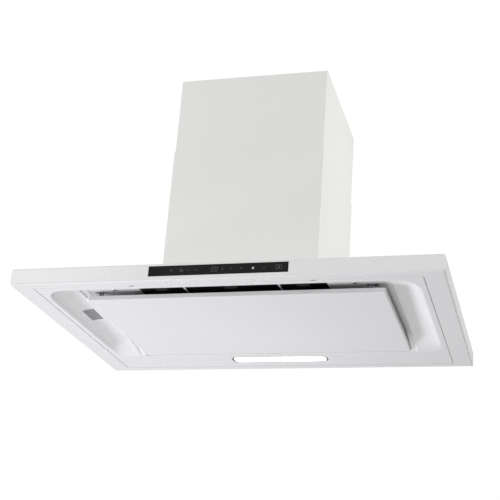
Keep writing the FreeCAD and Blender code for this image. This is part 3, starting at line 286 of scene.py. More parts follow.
def pressed_depth(x, y):
    """How far above the rim plane the pan's underside lies, in millimetres."""
    side = abs(x)
    centre = SCOOP_HALF - SCOOP_CORNER
    front = (y - POCKET_FRONT) / WALL
    round_corner = 1.0
    out, ahead = side - centre, POCKET_FRONT + SCOOP_CORNER - y
    if out > 0 and ahead > 0:
        bearing = math.atan2(out, ahead) / (math.pi / 2)
        run = WALL + (SCOOP_COVE - WALL) * bearing ** 0.8
        round_corner = (SCOOP_CORNER - math.hypot(out, ahead)) / run
        front = 1.0
    cove = min(hollowed((SCOOP_HALF - side) / SCOOP_COVE), hollowed(round_corner), swell(front))
    scoop = cove * sloped(y, *SCOOP_DEPTHS, SCOOP_RAMP, SCOOP_END)
    channel = min(swell((CHANNEL_HALF - side) / WALL), swell(front))
    channel *= sloped(y, POCKET_DEPTH, POCKET_DEPTH, CHANNEL_RAMP, SCOOP_END)
    pocket = min(swell((POCKET_HALF - side) / WALL), swell(front), swell((POCKET_REAR - y) / WALL))
    depth = deeper(deeper(scoop, channel), pocket * POCKET_DEPTH)
    rim = min(PAN_HALF[0] - side, PAN_HALF[1] - abs(y))
    if rim < 1.0:
        depth += 1.0 - math.sqrt(1.0 - (1.0 - max(rim, 0.0)) ** 2)
    return depth


def stations(marks, gap):
    """Sorted positions with long stretches divided evenly."""
    marks = sorted(set(round(mark, 3) for mark in marks))
    placed = [marks[0]]
    for mark in marks[1:]:
        parts = max(1, math.ceil((mark - placed[-1]) / gap))
        start = placed[-1]
        placed += [start + (mark - start) * step / parts for step in range(1, parts + 1)]
    return placed


wall_steps = [-0.6, -0.2, 0.15, 0.5, 0.9, 1.3, 1.75, 2.2, 2.6, 3.0, 3.35, 3.7, 4.2, 5.5]
edge_steps = [0.0, 0.15, 0.4, 0.7, 1.0]
half_columns = [0.0, LAMP_WINDOW[0] - WINDOW_CORNER, LAMP_WINDOW[0], NOTCH[0], NOTCH[1], OPENING[0]]
half_columns += [wall - step for wall in (POCKET_HALF, CHANNEL_HALF) for step in wall_steps]
half_columns += [SCOOP_HALF - SCOOP_COVE * step / 18 for step in range(-2, 19)]
half_columns += [PAN_HALF[0] - step for step in edge_steps]
half_columns = stations(half_columns, 24.0)
columns = [-x for x in reversed(half_columns[1:])] + half_columns
rows = [-PAN_HALF[1] + step for step in edge_steps] + [PAN_HALF[1] - step for step in edge_steps]
rows += [NOTCH[2], OPENING[1], OPENING[2]] + [POCKET_FRONT + step for step in wall_steps]
rows += [POCKET_FRONT + step for step in (9, 14, 20, 28, 38)]
rows += [POCKET_REAR - step for step in wall_steps]
rows += [CHANNEL_RAMP - 16 + step * 5.5 for step in range(18)]
rows += [LAMP_WINDOW[1], LAMP_WINDOW[1] + WINDOW_CORNER, LAMP_WINDOW[2] - WINDOW_CORNER,
         LAMP_WINDOW[2]]
rows = stations(rows, 24.0)


def bent_row(x, y):
    """Rows near the front follow the scoop's round front corner."""
    out = min(max(abs(x) - (SCOOP_HALF - SCOOP_CORNER), 0.0), SCOOP_CORNER)
    shift = SCOOP_CORNER - math.sqrt(max(SCOOP_CORNER ** 2 - out ** 2, 0.0))
    if y < POCKET_FRONT:
        share = (y + PAN_HALF[1]) / (POCKET_FRONT + PAN_HALF[1])
    else:
        share = (-60.0 - y) / (-60.0 - POCKET_FRONT)
    return y + shift * min(max(share, 0.0), 1.0)


def open_here(x, y):
    """True inside the filter opening, the lamp window and the lifting slots."""
    return ((abs(x) < OPENING[0] and OPENING[1] < y < OPENING[2])
            or (abs(x) < LAMP_WINDOW[0] and LAMP_WINDOW[1] < y < LAMP_WINDOW[2])
            or (NOTCH[0] < abs(x) < NOTCH[1] and y < NOTCH[2]))


shape = bmesh.new()
grid = []
for x in columns:
    line = []
    for row in rows:
        y = bent_row(x, row)
        line.append(shape.verts.new((x * MM, y * MM, RIM + pressed_depth(x, y) * MM)))
    grid.append(line)
for i in range(len(columns) - 1):
    for j in range(len(rows) - 1):
        middle = ((columns[i] + columns[i + 1]) / 2, (rows[j] + rows[j + 1]) / 2)
        if not open_here(*middle):
            shape.faces.new((grid[i][j], grid[i][j + 1], grid[i + 1][j + 1], grid[i + 1][j]))

# The lamp window's four rounded corners, filled from each square corner to its arc.
for sx in (-1, 1):
    for edge_y, sy in ((LAMP_WINDOW[1], 1), (LAMP_WINDOW[2], -1)):
        corner_x = sx * LAMP_WINDOW[0]
        centre = (corner_x - sx * WINDOW_CORNER, edge_y + sy * WINDOW_CORNER)
        arc = []
        for step in range(1, 9):
            a = math.pi / 2 * step / 9
            x = centre[0] + sx * WINDOW_CORNER * math.sin(a)
            y = centre[1] - sy * WINDOW_CORNER * math.cos(a)
            arc.append(shape.verts.new((x * MM, y * MM, RIM)))
        column = {x: i for i, x in enumerate(columns)}
        row = {y: i for i, y in enumerate(rows)}
        square = grid[column[corner_x]][row[edge_y]]
        first = grid[column[centre[0]]][row[edge_y]]
        last = grid[column[corner_x]][row[centre[1]]]
        path = [first] + arc + [last]
        for a, b in zip(path, path[1:]):
            face = (square, a, b) if sx * sy > 0 else (square, b, a)
            shape.faces.new(face)

# The outer flange turned up inside the canopy's mouth.
FLANGE = 11.0
for vert in [v for v in shape.verts if not v.link_edges]:
    shape.verts.remove(vert)


def on_rim(vert):
    return (abs(vert.co.x) > PAN_HALF[0] * MM - 1e-6) or (abs(vert.co.y) > PAN_HALF[1] * MM - 1e-6)


rim_edges = [e for e in shape.edges if e.is_boundary and all(on_rim(v) for v in e.verts)]
raised = bmesh.ops.extrude_edge_only(shape, edges=rim_edges)["geom"]
for vert in [item for item in raised if isinstance(item, bmesh.types.BMVert)]:
    vert.co.z += FLANGE * MM
bmesh.ops.recalc_face_normals(shape, faces=shape.faces)
shape.faces.ensure_lookup_table()
lowest = min(shape.faces, key=lambda f: f.calc_center_median().z)
if lowest.normal.z > 0:
    bmesh.ops.reverse_faces(shape, faces=shape.faces)


def piece(name, shape, material, smooth=True):
    """Turns a finished bmesh into an object in the scene."""
    mesh = bpy.data.meshes.new(name)
    shape.to_mesh(mesh)
    shape.free()
    mesh.materials.append(material)
    mesh.polygons.foreach_set("use_smooth", [smooth] * len(mesh.polygons))
    made = bpy.data.objects.new(name, mesh)
    bpy.context.scene.collection.objects.link(made)
    return made


pan = piece("pressed_pan", shape, canopy_white_cool_lit)
sheet = pan.modifiers.new("sheet", "SOLIDIFY")
sheet.thickness, sheet.offset = PAN_SHEET * MM, -1.0
pan.modifiers.new("even_shading", "WEIGHTED_NORMAL").keep_sharp = True
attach(pan, "hood")
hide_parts("underside_pan")

# ---- Rating label --------------------------------------------------------------------------------
# Grey matt film stuck on the left scoop's slope, with a faint frame and no lettering.
LABEL_X, LABEL_Y, FILM = (-370.0, -344.5), (-106.0, -46.0), 0.25
shape = bmesh.new()
spots = [[shape.verts.new((x * MM, y * MM, RIM + (pressed_depth(x, y) - FILM) * MM))
          for y in stations(LABEL_Y, 6.0)] for x in stations(LABEL_X, 2.5)]
for one, other in zip(spots, spots[1:]):
    for j in range(len(one) - 1):
        shape.faces.new((one[j], one[j + 1], other[j + 1], other[j]))
matt_film, tree, shader = finish("label_film", Specular_IOR_Level=0.35)
patches = add(tree, "ShaderNodeGroup", {"Patch": 0.012}, node_tree=cloud)
tone = blend(tree, spread(tree, patches.outputs["Drift"], 0, 1, 0.3, 0.7),
             (0.27, 0.265, 0.285, 1), (0.33, 0.325, 0.345, 1))
join(tree, shader, Base_Color=tone,
     Roughness=spread(tree, patches.outputs["Speckle"], 0.4, 0.6, 0.3, 0.7))
label = piece("rating_film", shape, matt_film)
backing = label.modifiers.new("film", "SOLIDIFY")
backing.thickness, backing.offset = 0.2 * MM, -1.0
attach(label, "hood")
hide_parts("rating_label")

# ---- Suction panel -------------------------------------------------------------------------------
# Flat tray of white powder-coated sheet that closes the pocket; it hangs on two rear hinge pins and
# snaps up on two strikers. A ribbed zinc lining stiffens it.
# The panel's white is cool as the canopy's is: painted cool light from below.
coat(powder_coat("panel_white_cool_lit", (0.835, 0.835, 0.842, 1), (0.820, 0.820, 0.828, 1), 0.24),
     "suction_panel")
coat(galvanised("lining_zinc", 0.006, 0.34, 0.5), "panel_lining")


def ground_steel(name, colour, gloss, line_scale):
    """Drawn or ground steel with fine lines along one axis."""
    made, tree, shader = finish(name, Metallic=1.0)
    spot = add(tree, "ShaderNodeTexCoord").outputs["Object"]
    stretch = add(tree, "ShaderNodeMapping", {"Vector": spot, "Scale": line_scale})
    lines = add(tree, "ShaderNodeTexNoise",
                {"Vector": stretch.outputs[0], "Scale": 1.0, "Detail": 4.0}).outputs[0]
    patches = add(tree, "ShaderNodeGroup", {"Patch": 0.01}, node_tree=cloud)
    edges = add(tree, "ShaderNodeGroup", {"Width": 0.0003}, node_tree=edge)
    tone = blend(tree, lines, tuple(c * 0.82 for c in colour[:3]) + (1,), colour)
    tone = blend(tree, maths(tree, "MULTIPLY", edges.outputs["Edges_And_Creases"], 0.5), tone, (0.86, 0.86, 0.86, 1))
    rough = maths(tree, "ADD", spread(tree, lines, gloss - 0.05, gloss + 0.08, 0.3, 0.7),
                  spread(tree, patches.outputs["Drift"], -0.04, 0.04, 0.3, 0.7))
    join(tree, shader, Base_Color=tone, Roughness=rough)
    relief(tree, shader, lines, 0.000008, edges.outputs["Soft"])
    return made


coat(ground_steel("turned_steel", (0.66, 0.67, 0.68, 1), 0.22, (3000, 120, 120)),
     "hinge_pins", "motor_shaft", "flap_axle", "panel_strikers")
coat(ground_steel("spring_steel", (0.43, 0.45, 0.50, 1), 0.28, (60, 1800, 1800)), "panel_catches")

# ---- Grease filters ------------------------------------------------------------------------------
# Three cassettes with folded black anodised aluminium frames round layers of expanded mesh, each held
# by a sprung plastic slide; their black is also painted shade, the dark of a filter opening that little
# light reaches. The lowest mesh layer is made strand by strand.
shade_black_anodised, tree, shader = finish("black_anodised_painted_shade", Metallic=1.0)
patches = add(tree, "ShaderNodeGroup", {"Patch": 0.03}, node_tree=cloud)
edges = add(tree, "ShaderNodeGroup", {"Width": 0.0004}, node_tree=edge)
# The dye's near-black is painted shade as well as anodising; the lighter edges are worn anodising.
dye_and_shade = blend(tree, spread(tree, patches.outputs["Drift"], 0, 1, 0.3, 0.7),
            (0.040, 0.040, 0.042, 1), (0.060, 0.060, 0.060, 1))
dye_and_shade = blend(tree, maths(tree, "MULTIPLY", edges.outputs["Edges_And_Creases"], 0.35), dye_and_shade, (0.30, 0.30, 0.30, 1))
join(tree, shader, Base_Color=dye_and_shade,
     Roughness=spread(tree, patches.outputs["Speckle"], 0.34, 0.5, 0.3, 0.7))
relief(tree, shader, patches.outputs["Speckle"], 0.00001, edges.outputs["Soft"])
coat(shade_black_anodised, "grease_filter_left", "grease_filter_middle", "grease_filter_right")

# Mesh core: the stacked layers behind the first, drawn as a dark weave of diamonds; the near-black
# between the strands is painted shade deep in the stack.
stack_shade_core, tree, shader = finish("mesh_layers_painted_shade", Metallic=0.8)
spot = add(tree, "ShaderNodeTexCoord").outputs["Object"]
slant = add(tree, "ShaderNodeMapping",
            {"Vector": spot, "Rotation": (0, 0, 0.6), "Scale": (330, 210, 330)})
cells = add(tree, "ShaderNodeTexVoronoi", {"Vector": slant.outputs[0], "Scale": 1.0},
            feature="DISTANCE_TO_EDGE").outputs["Distance"]
strand = spread(tree, cells, 1.0, 0.0, 0.05, 0.3)
join(tree, shader, Base_Color=blend(tree, strand, (0.004, 0.004, 0.004, 1), (0.05, 0.05, 0.05, 1)),
     Roughness=spread(tree, strand, 0.9, 0.45))
relief(tree, shader, strand, 0.0006)
coat(stack_shade_core, "filter_meshes")

# Expanded mesh: zigzag strands side by side, every other one turned end for end.
strands = bpy.data.node_groups.new("expanded_mesh", "GeometryNodeTree")
for label_text, kind, value in (("Width", "Float", 0.1), ("Length", "Float", 0.3),
                                ("Half Cell", "Float", 0.0035), ("Rise", "Float", 0.0012),
                                ("Strand", "Float", 0.0007)):
    socket = strands.interface.new_socket(label_text, in_out="INPUT",
                                          socket_type="NodeSocket" + kind)
    socket.default_value = value
strands.interface.new_socket("Material", in_out="INPUT", socket_type="NodeSocketMaterial")
strands.interface.new_socket("Mesh", in_out="OUTPUT", socket_type="NodeSocketGeometry")
given = strands.nodes.new("NodeGroupInput").outputs
bends = maths(strands, "ROUND", maths(strands, "DIVIDE", given["Width"],
                                      maths(strands, "MULTIPLY", given["Half Cell"], 2.0)))
segments = maths(strands, "MULTIPLY", bends, 2.0)
points = maths(strands, "ADD", segments, 1.0)
step = maths(strands, "DIVIDE", given["Width"], segments)
along = add(strands, "GeometryNodeMeshLine", {"Count": points}, mode="OFFSET", count_mode="TOTAL")
number = add(strands, "GeometryNodeInputIndex").outputs[0]
side_to_side = maths(strands, "SUBTRACT", maths(strands, "MODULO", number, 2.0), 0.5)
reach_x = maths(strands, "SUBTRACT", maths(strands, "MULTIPLY", number, step),
                maths(strands, "MULTIPLY", given["Width"], 0.5))
zigzag = add(strands, "ShaderNodeCombineXYZ", {
    "X": reach_x, "Y": maths(strands, "MULTIPLY", side_to_side,
                             maths(strands, "MULTIPLY", given["Rise"], 2.0)), "Z": 0.0})
bent = add(strands, "GeometryNodeSetPosition",
           {"Geometry": along.outputs[0], "Position": zigzag.outputs[0]})
wire = add(strands, "GeometryNodeMeshToCurve", {"Mesh": bent.outputs[0]})
section = add(strands, "GeometryNodeCurvePrimitiveQuadrilateral",
              {"Width": given["Strand"], "Height": maths(strands, "MULTIPLY", given["Strand"], 0.8)},
              mode="RECTANGLE")
swept = add(strands, "GeometryNodeCurveToMesh",
            {"Curve": wire.outputs[0], "Profile Curve": section.outputs[0], "Fill Caps": True})
pitch = maths(strands, "MULTIPLY", given["Rise"], 2.0)
count = maths(strands, "FLOOR", maths(strands, "DIVIDE", given["Length"], pitch))
lines = add(strands, "GeometryNodeMeshLine", {"Count": count}, mode="OFFSET", count_mode="TOTAL")
line_number = add(strands, "GeometryNodeInputIndex").outputs[0]
reach_y = maths(strands, "SUBTRACT", maths(strands, "MULTIPLY", line_number, pitch),
                maths(strands, "MULTIPLY", maths(strands, "SUBTRACT", given["Length"], pitch), 0.5))
laid = add(strands, "GeometryNodeSetPosition", {
    "Geometry": lines.outputs[0],
    "Position": add(strands, "ShaderNodeCombineXYZ", {"X": 0.0, "Y": reach_y}).outputs[0]})
end_for_end = maths(strands, "MULTIPLY", maths(strands, "MODULO", line_number, 2.0), math.pi)
copies = add(strands, "GeometryNodeInstanceOnPoints", {
    "Points": laid.outputs[0], "Instance": swept.outputs[0],
    "Rotation": add(strands, "ShaderNodeCombineXYZ", {"Z": end_for_end}).outputs[0]})
real = add(strands, "GeometryNodeRealizeInstances", {"Geometry": copies.outputs[0]})
dressed = add(strands, "GeometryNodeSetMaterial",
              {"Geometry": real.outputs[0], "Material": given["Material"]})
strands.links.new(dressed.outputs[0], strands.nodes.new("NodeGroupOutput").inputs[0])

# The strands' near-black is painted shade: the dark of a filter opening that little light reaches.
expanded, tree, shader = finish("black_mesh_painted_shade", Metallic=0.9)
patches = add(tree, "ShaderNodeGroup", {"Patch": 0.02}, node_tree=cloud)
join(tree, shader, Base_Color=blend(tree, patches.outputs["Drift"], (0.030, 0.030, 0.031, 1),
                                    (0.065, 0.064, 0.062, 1)),
     Roughness=spread(tree, patches.outputs["Speckle"], 0.35, 0.55, 0.3, 0.7))


def plain_mesh(name, carrier, inputs, tree):
    """Runs a geometry tree on an object and keeps the result as a plain mesh."""
    modifier = carrier.modifiers.new("made", "NODES")
    modifier.node_group = tree
    for socket in tree.interface.items_tree:
        if socket.name in inputs:
            modifier[socket.identifier] = inputs[socket.name]
    carrier.update_tag()
    graph = bpy.context.evaluated_depsgraph_get()
    mesh = bpy.data.meshes.new_from_object(carrier.evaluated_get(graph))
    carrier.modifiers.remove(modifier)
    mesh.name = name
    return mesh


FRAME_SIDE, FRAME_FRONT, MESH_SINK = 9.0, 16.0, 1.9
for bay in ("left", "middle", "right"):
    low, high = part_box("grease_filter_" + bay)
    carrier = bpy.data.objects.new("filter_weave_" + bay, bpy.data.meshes.new("carrier"))
    bpy.context.scene.collection.objects.link(carrier)
    sizes = {"Width": high.x - low.x - 2 * (FRAME_SIDE - 1.5) * MM,
             "Length": high.y - low.y - (FRAME_SIDE + FRAME_FRONT - 3.0) * MM,
             "Material": expanded}
    weave = plain_mesh(carrier.name, carrier, sizes, strands)
    middle_y = (low.y + high.y) / 2 + (FRAME_FRONT - FRAME_SIDE) / 2 * MM
    middle = Vector(((low.x + high.x) / 2, middle_y, low.z + (MESH_SINK - 0.9) * MM))
    weave.transform(Matrix.Translation(middle))
    carrier.data = weave
    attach(carrier, "hood")

# ---- Moulded black parts -------------------------------------------------------------------------
# Filter slides, blower wheel, glass carrier and cable gland: injection-moulded black plastic with a
# fine spark-eroded grain and slightly polished edges.


def moulded(name, colour, gloss, grain=0.00002):
    made, tree, shader = finish(name, Specular_IOR_Level=0.45)
    spot = add(tree, "ShaderNodeTexCoord").outputs["Object"]
    pits = add(tree, "ShaderNodeTexNoise", {"Vector": spot, "Scale": 1600.0, "Detail": 2.0}).outputs[0]
    patches = add(tree, "ShaderNodeGroup", {"Patch": 0.04}, node_tree=cloud)
    edges = add(tree, "ShaderNodeGroup", {"Width": 0.0005}, node_tree=edge)
    settled = add(tree, "ShaderNodeGroup", {"Patch": 0.02}, node_tree=dust).outputs[0]
    tone = blend(tree, patches.outputs["Drift"], tuple(c * 0.86 for c in colour[:3]) + (1,), colour)
    lighter = tuple(min(1.0, c * 1.25 + 0.02) for c in colour[:3]) + (1,)
    tone = blend(tree, maths(tree, "MULTIPLY", edges.outputs["Edges_And_Creases"], 0.5), tone, lighter)
    dusty = maths(tree, "MULTIPLY", settled, 0.18)
    rough = maths(tree, "SUBTRACT", spread(tree, pits, gloss - 0.06, gloss + 0.08, 0.3, 0.7),
                  maths(tree, "MULTIPLY", edges.outputs["Edges_And_Creases"], 0.12))
    join(tree, shader, Base_Color=blend(tree, dusty, tone, DUST), Roughness=rough)
    relief(tree, shader, pits, grain, edges.outputs["Soft"])
    return made


coat(moulded("black_plastic", (0.028, 0.028, 0.029, 1), 0.46), "filter_latch_left",
     "filter_latch_middle", "filter_latch_right", "impeller", "control_carrier", "cable_gland",
     "lamp_housing")

# ---- Touch control -------------------------------------------------------------------------------
# A strip of clear glass painted black behind, bonded into the front sheet. The key marks are plain
# printed signs that any such hood has, and shine faintly.
black_glass, tree, shader = finish("black_glass", Specular_IOR_Level=0.14)
patches = add(tree, "ShaderNodeGroup", {"Patch": 0.07}, node_tree=cloud)
smear = spread(tree, patches.outputs["Drift"], 0.0, 1.0, 0.45, 0.75)
join(tree, shader, Base_Color=blend(tree, smear, (0.0070, 0.0070, 0.0075, 1),
                                    (0.0100, 0.0100, 0.0105, 1)),
     Roughness=spread(tree, smear, 0.07, 0.2))
coat(black_glass, "control_glass")
glass_low, glass_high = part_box("control_glass")
GLASS_FACE = glass_low.y
GLASS_MIDDLE = (glass_low.z + glass_high.z) / 2
PRINT = 0.06


def printed_line(shape, path, width, closed=False):
    """A band of ink along a path of (x, z) points, in millimetres from the glass's middle."""
    points = [Vector(p) for p in path]
    count = len(points)
    rings = []
    for i, point in enumerate(points):
        before = points[i - 1] if (i or closed) else point
        after = points[(i + 1) % count] if (i < count - 1 or closed) else point
        run = (after - before).normalized()
        across = Vector((-run.y, run.x)) * width / 2
        ring = []
        for offset, depth in ((across, PRINT), (-across, PRINT), (-across, -0.1), (across, -0.1)):
            spot = point + offset
            ring.append(shape.verts.new((spot.x * MM, GLASS_FACE - depth * MM,
                                         GLASS_MIDDLE + spot.y * MM)))
        rings.append(ring)
    pairs = list(zip(rings, rings[1:])) + ([(rings[-1], rings[0])] if closed else [])
    for one, other in pairs:
        for i in range(4):
            shape.faces.new((one[i], one[(i + 1) % 4], other[(i + 1) % 4], other[i]))
    if not closed:
        shape.faces.new(rings[0])
        shape.faces.new(list(reversed(rings[-1])))


def ring_path(x, z, radius, start=0, end=360, steps=28):
    angles = [math.radians(start + (end - start) * i / steps) for i in range(steps + 1)]
    return [(x + radius * math.cos(a), z + radius * math.sin(a)) for a in angles]


def box_path(x, z, half_x, half_z, corner):
    path = []
    for sx, sz, start in ((1, 1, 0), (-1, 1, 90), (-1, -1, 180), (1, -1, 270)):
        centre = (x + sx * (half_x - corner), z + sz * (half_z - corner))
        path += ring_path(*centre, corner, start, start + 90, 5)
    return path


faint, bright = bmesh.new(), bmesh.new()
# Lamp, on-off, slower, faster, timer window, boost, back, forward, light level, delay, filter care.
printed_line(faint, ring_path(-96, 0.8, 1.9, -60, 240), 0.4)
printed_line(faint, [(-97, -2.2), (-95, -2.2)], 0.4)
printed_line(faint, ring_path(-75, 0, 3.0, 125, 415), 0.5)
printed_line(faint, [(-75, 0.6), (-75, 3.6)], 0.5)
printed_line(faint, [(-61.5, 0), (-58.5, 0)], 0.5)
printed_line(faint, [(-45.5, 0), (-42.5, 0)], 0.5)
printed_line(faint, [(-44, -1.5), (-44, 1.5)], 0.5)
printed_line(faint, box_path(-6, 0, 6.2, 4.2, 1.2), 0.4, closed=True)
printed_line(faint, [(-9.2, 0), (-6.8, 0)], 0.7)
printed_line(faint, [(-5.2, 0), (-2.8, 0)], 0.7)
printed_line(faint, ring_path(13, 0, 3.0, 110, 250), 0.5)
printed_line(faint, [(29.5, -1.8), (27, 0), (29.5, 1.8)], 0.6)
printed_line(faint, [(48.5, -1.8), (51, 0), (48.5, 1.8)], 0.6)
printed_line(bright, ring_path(73.5, 0, 1.6), 0.9)
printed_line(faint, ring_path(73.5, 0, 3.2, 200, 340), 0.4)
printed_line(faint, [(94.5, -1), (98.5, 1)], 0.45)
printed_line(faint, box_path(126, 0, 6.2, 4.2, 1.2), 0.4, closed=True)
printed_line(faint, ring_path(126, 0, 1.8), 0.5)


def ink(name, colour, strength):
    made, tree, shader = finish(name, Emission_Strength=strength, Roughness=0.4)
    patches = add(tree, "ShaderNodeGroup", {"Patch": 0.02}, node_tree=cloud)
    tone = blend(tree, patches.outputs["Speckle"], tuple(c * 0.8 for c in colour) + (1,), colour + (1,))
    join(tree, shader, Base_Color=tone, Emission_Color=tone)
    return made


for name, shape, made in (("key_marks", faint, ink("faint_ink", (0.15, 0.15, 0.155), 0.25)),
                          ("key_light", bright, ink("lit_ink", (0.62, 0.64, 0.66), 0.5))):
    bmesh.ops.recalc_face_normals(shape, faces=shape.faces)
    marks = piece(name, shape, made, smooth=False)
    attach(marks, "hood")

# ---- Circuit boards ------------------------------------------------------------------------------
# The touch board behind the glass and the lamp's board: glass-epoxy laminate with solder mask,
# copper tracks that show through, and pale chips.


def laminate(name, mask, track, axis_scale):
    made, tree, shader = finish(name, Coat_Weight=0.3, Coat_Roughness=0.1)
    spot = add(tree, "ShaderNodeTexCoord").outputs["Object"]
    stretch = add(tree, "ShaderNodeMapping", {"Vector": spot, "Scale": axis_scale})
    bricks = add(tree, "ShaderNodeTexBrick", {
        "Vector": stretch.outputs[0], "Scale": 1.0, "Mortar Size": 0.12, "Row Height": 0.25,
        "Color1": (0, 0, 0, 1), "Color2": (0, 0, 0, 1), "Mortar": (1, 1, 1, 1)})
    patches = add(tree, "ShaderNodeGroup", {"Patch": 0.01}, node_tree=cloud)
    tone = blend(tree, bricks.outputs["Color"], mask, track)
    fade = maths(tree, "MULTIPLY", patches.outputs["Speckle"], 0.2)
    tone = blend(tree, fade, tone, (0.5, 0.5, 0.45, 1))
    join(tree, shader, Base_Color=tone,
         Roughness=spread(tree, patches.outputs["Drift"], 0.3, 0.45, 0.3, 0.7))
    relief(tree, shader, bricks.outputs["Fac"], 0.00003)
    return made


coat(laminate("green_board", (0.012, 0.11, 0.05, 1), (0.03, 0.20, 0.09, 1), (160, 160, 160)),
     "touch_board")
coat(laminate("white_board", (0.72, 0.72, 0.70, 1), (0.60, 0.60, 0.57, 1), (70, 70, 70)),
     "lamp_board")

# ---- Lamp ----------------------------------------------------------------------------------------
# A flush strip of milky acrylic with rounded ends over a row of white diodes, set in the pan with a
# thin black rubber gasket round it whose dark line is also painted shade, the shadow in the recess
# round the lens. It is lit.
# Rubber: black, dull, with a bloom that is greyer in patches.
rubber, tree, shader = finish("rubber", Specular_IOR_Level=0.3)
patches = add(tree, "ShaderNodeGroup", {"Patch": 0.008}, node_tree=cloud)
edges = add(tree, "ShaderNodeGroup", {"Width": 0.0006}, node_tree=edge)
join(tree, shader, Base_Color=blend(tree, patches.outputs["Drift"], (0.016, 0.016, 0.016, 1),
                                    (0.045, 0.044, 0.043, 1)),
     Roughness=spread(tree, patches.outputs["Speckle"], 0.68, 0.88, 0.3, 0.7))
relief(tree, shader, patches.outputs["Speckle"], 0.00004, edges.outputs["Soft"])

LENS_GAP = 4.0
lens_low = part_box("lamp_lens")[0]
half_x = LAMP_WINDOW[0] - LENS_GAP
half_y = (LAMP_WINDOW[2] - LAMP_WINDOW[1]) / 2 - LENS_GAP
middle_y = (LAMP_WINDOW[1] + LAMP_WINDOW[2]) / 2
shape = bmesh.new()
levels = ((0.0, 0.6), (0.15, 0.2), (0.6, 0.0), (3.0, 0.0))
rings = []
for height, inset in levels:
    path = box_path(0, middle_y, half_x - inset, half_y - inset, WINDOW_CORNER - LENS_GAP - inset)
    rings.append([shape.verts.new((x * MM, y * MM, lens_low.z + height * MM)) for x, y in path])
for one, other in zip(rings, rings[1:]):
    for i in range(len(one)):
        shape.faces.new((one[i], other[i], other[i - 1], one[i - 1]))
shape.faces.new(rings[0])
shape.faces.new(list(reversed(rings[-1])))
bmesh.ops.recalc_face_normals(shape, faces=shape.faces)
milky, tree, shader = finish("milky_lens", Emission_Strength=1.15, Roughness=0.3)
spot = add(tree, "ShaderNodeTexCoord").outputs["Object"]
diodes = add(tree, "ShaderNodeTexWave", {"Vector": spot, "Scale": 9.6, "Distortion": 0.0})
glow = blend(tree, diodes.outputs["Fac"], (0.93, 0.95, 1.0, 1), (1.0, 1.0, 1.0, 1))
patches = add(tree, "ShaderNodeGroup", {"Patch": 0.02}, node_tree=cloud)
join(tree, shader, Base_Color=glow, Emission_Color=glow,
     Roughness=spread(tree, patches.outputs["Speckle"], 0.25, 0.35, 0.3, 0.7))
lens = piece("lamp_diffuser", shape, milky, smooth=False)
# The gasket's black line is painted shade as well as rubber: it gives the shadowed gap round the lens.
shape = bmesh.new()
GASKET = ((LENS_GAP - 0.15, 0.7), (0.1, 0.7), (0.1, 2.2), (LENS_GAP - 0.15, 2.2))
rings = []
for inset, height in GASKET:
    path = box_path(0, middle_y, LAMP_WINDOW[0] - inset,
                    (LAMP_WINDOW[2] - LAMP_WINDOW[1]) / 2 - inset, WINDOW_CORNER - inset)
    rings.append([shape.verts.new((x * MM, y * MM, lens_low.z + height * MM)) for x, y in path])
for i in range(4):
    one, other = rings[i], rings[(i + 1) % 4]
    for j in range(len(one)):
        shape.faces.new((one[j], other[j], other[j - 1], one[j - 1]))
bmesh.ops.recalc_face_normals(shape, faces=shape.faces)
shade_line_gasket = piece("lamp_gasket_shade_line", shape, rubber, smooth=False)
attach(shade_line_gasket, "hood")
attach(lens, "hood")
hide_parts("lamp_lens")

# ---- Blower --------------------------------------------------------------------------------------
# A double-inlet fan: two grey moulded volute halves with bell-mouth rings round a black wheel, on
# rubber mounts, with a capacitor motor whose can is drawn steel.
coat(moulded("grey_plastic", (0.34, 0.35, 0.36, 1), 0.42, 0.00003), "volute_left", "volute_right",
     "inlet_rings", "outlet_transition", "duct_spigot", "damper_flap_front", "damper_flap_rear",
     "terminal_box", "terminal_lid")
coat(moulded("white_plastic", (0.76, 0.76, 0.73, 1), 0.38), "capacitor", "terminal_strip")
coat(galvanised("motor_can_zinc", 0.004, 0.28, 0.40), "motor_cup", "motor_cap", "motor_spider")

coat(rubber, "rubber_mounts")

# Sintered bronze bearings: porous, brown-gold, darker with oil in patches.
bronze, tree, shader = finish("sintered_bronze", Metallic=0.9)
patches = add(tree, "ShaderNodeGroup", {"Patch": 0.004}, node_tree=cloud)
join(tree, shader, Base_Color=blend(tree, patches.outputs["Drift"], (0.30, 0.18, 0.08, 1),
                                    (0.55, 0.37, 0.18, 1)),
     Roughness=spread(tree, patches.outputs["Speckle"], 0.35, 0.6, 0.3, 0.7))
relief(tree, shader, patches.outputs["Speckle"], 0.00005)
coat(bronze, "motor_bearings")

# Stator and rotor: varnished laminations stacked along the shaft, with enamelled copper windings
# at both ends of the stator.
stator_low, stator_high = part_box("motor_stator")
iron, tree, shader = finish("laminations")
spot = add(tree, "ShaderNodeTexCoord").outputs["Object"]
across = add(tree, "ShaderNodeSeparateXYZ", {0: spot}).outputs["X"]
from_middle = maths(tree, "ABSOLUTE", maths(tree, "SUBTRACT", across,
                                            (stator_low.x + stator_high.x) / 2))
END_TURNS = 0.0185
winding = spread(tree, from_middle, 0.0, 1.0, END_TURNS - 0.0004, END_TURNS + 0.0004)
stack = add(tree, "ShaderNodeTexWave",
            {"Vector": spot, "Scale": 320.0, "Distortion": 0.2}).outputs["Fac"]
turns_of_wire = add(tree, "ShaderNodeTexWave", {"Vector": spot, "Scale": 420.0, "Distortion": 3.0,
                                                "Detail Scale": 1.0}, wave_type="RINGS",
                    rings_direction="X").outputs["Fac"]
iron_tone = blend(tree, stack, (0.07, 0.065, 0.06, 1), (0.20, 0.18, 0.17, 1))
copper_tone = blend(tree, turns_of_wire, (0.22, 0.07, 0.025, 1), (0.60, 0.24, 0.09, 1))
height = add(tree, "ShaderNodeMix", {0: winding, 2: stack, 3: turns_of_wire}).outputs[0]
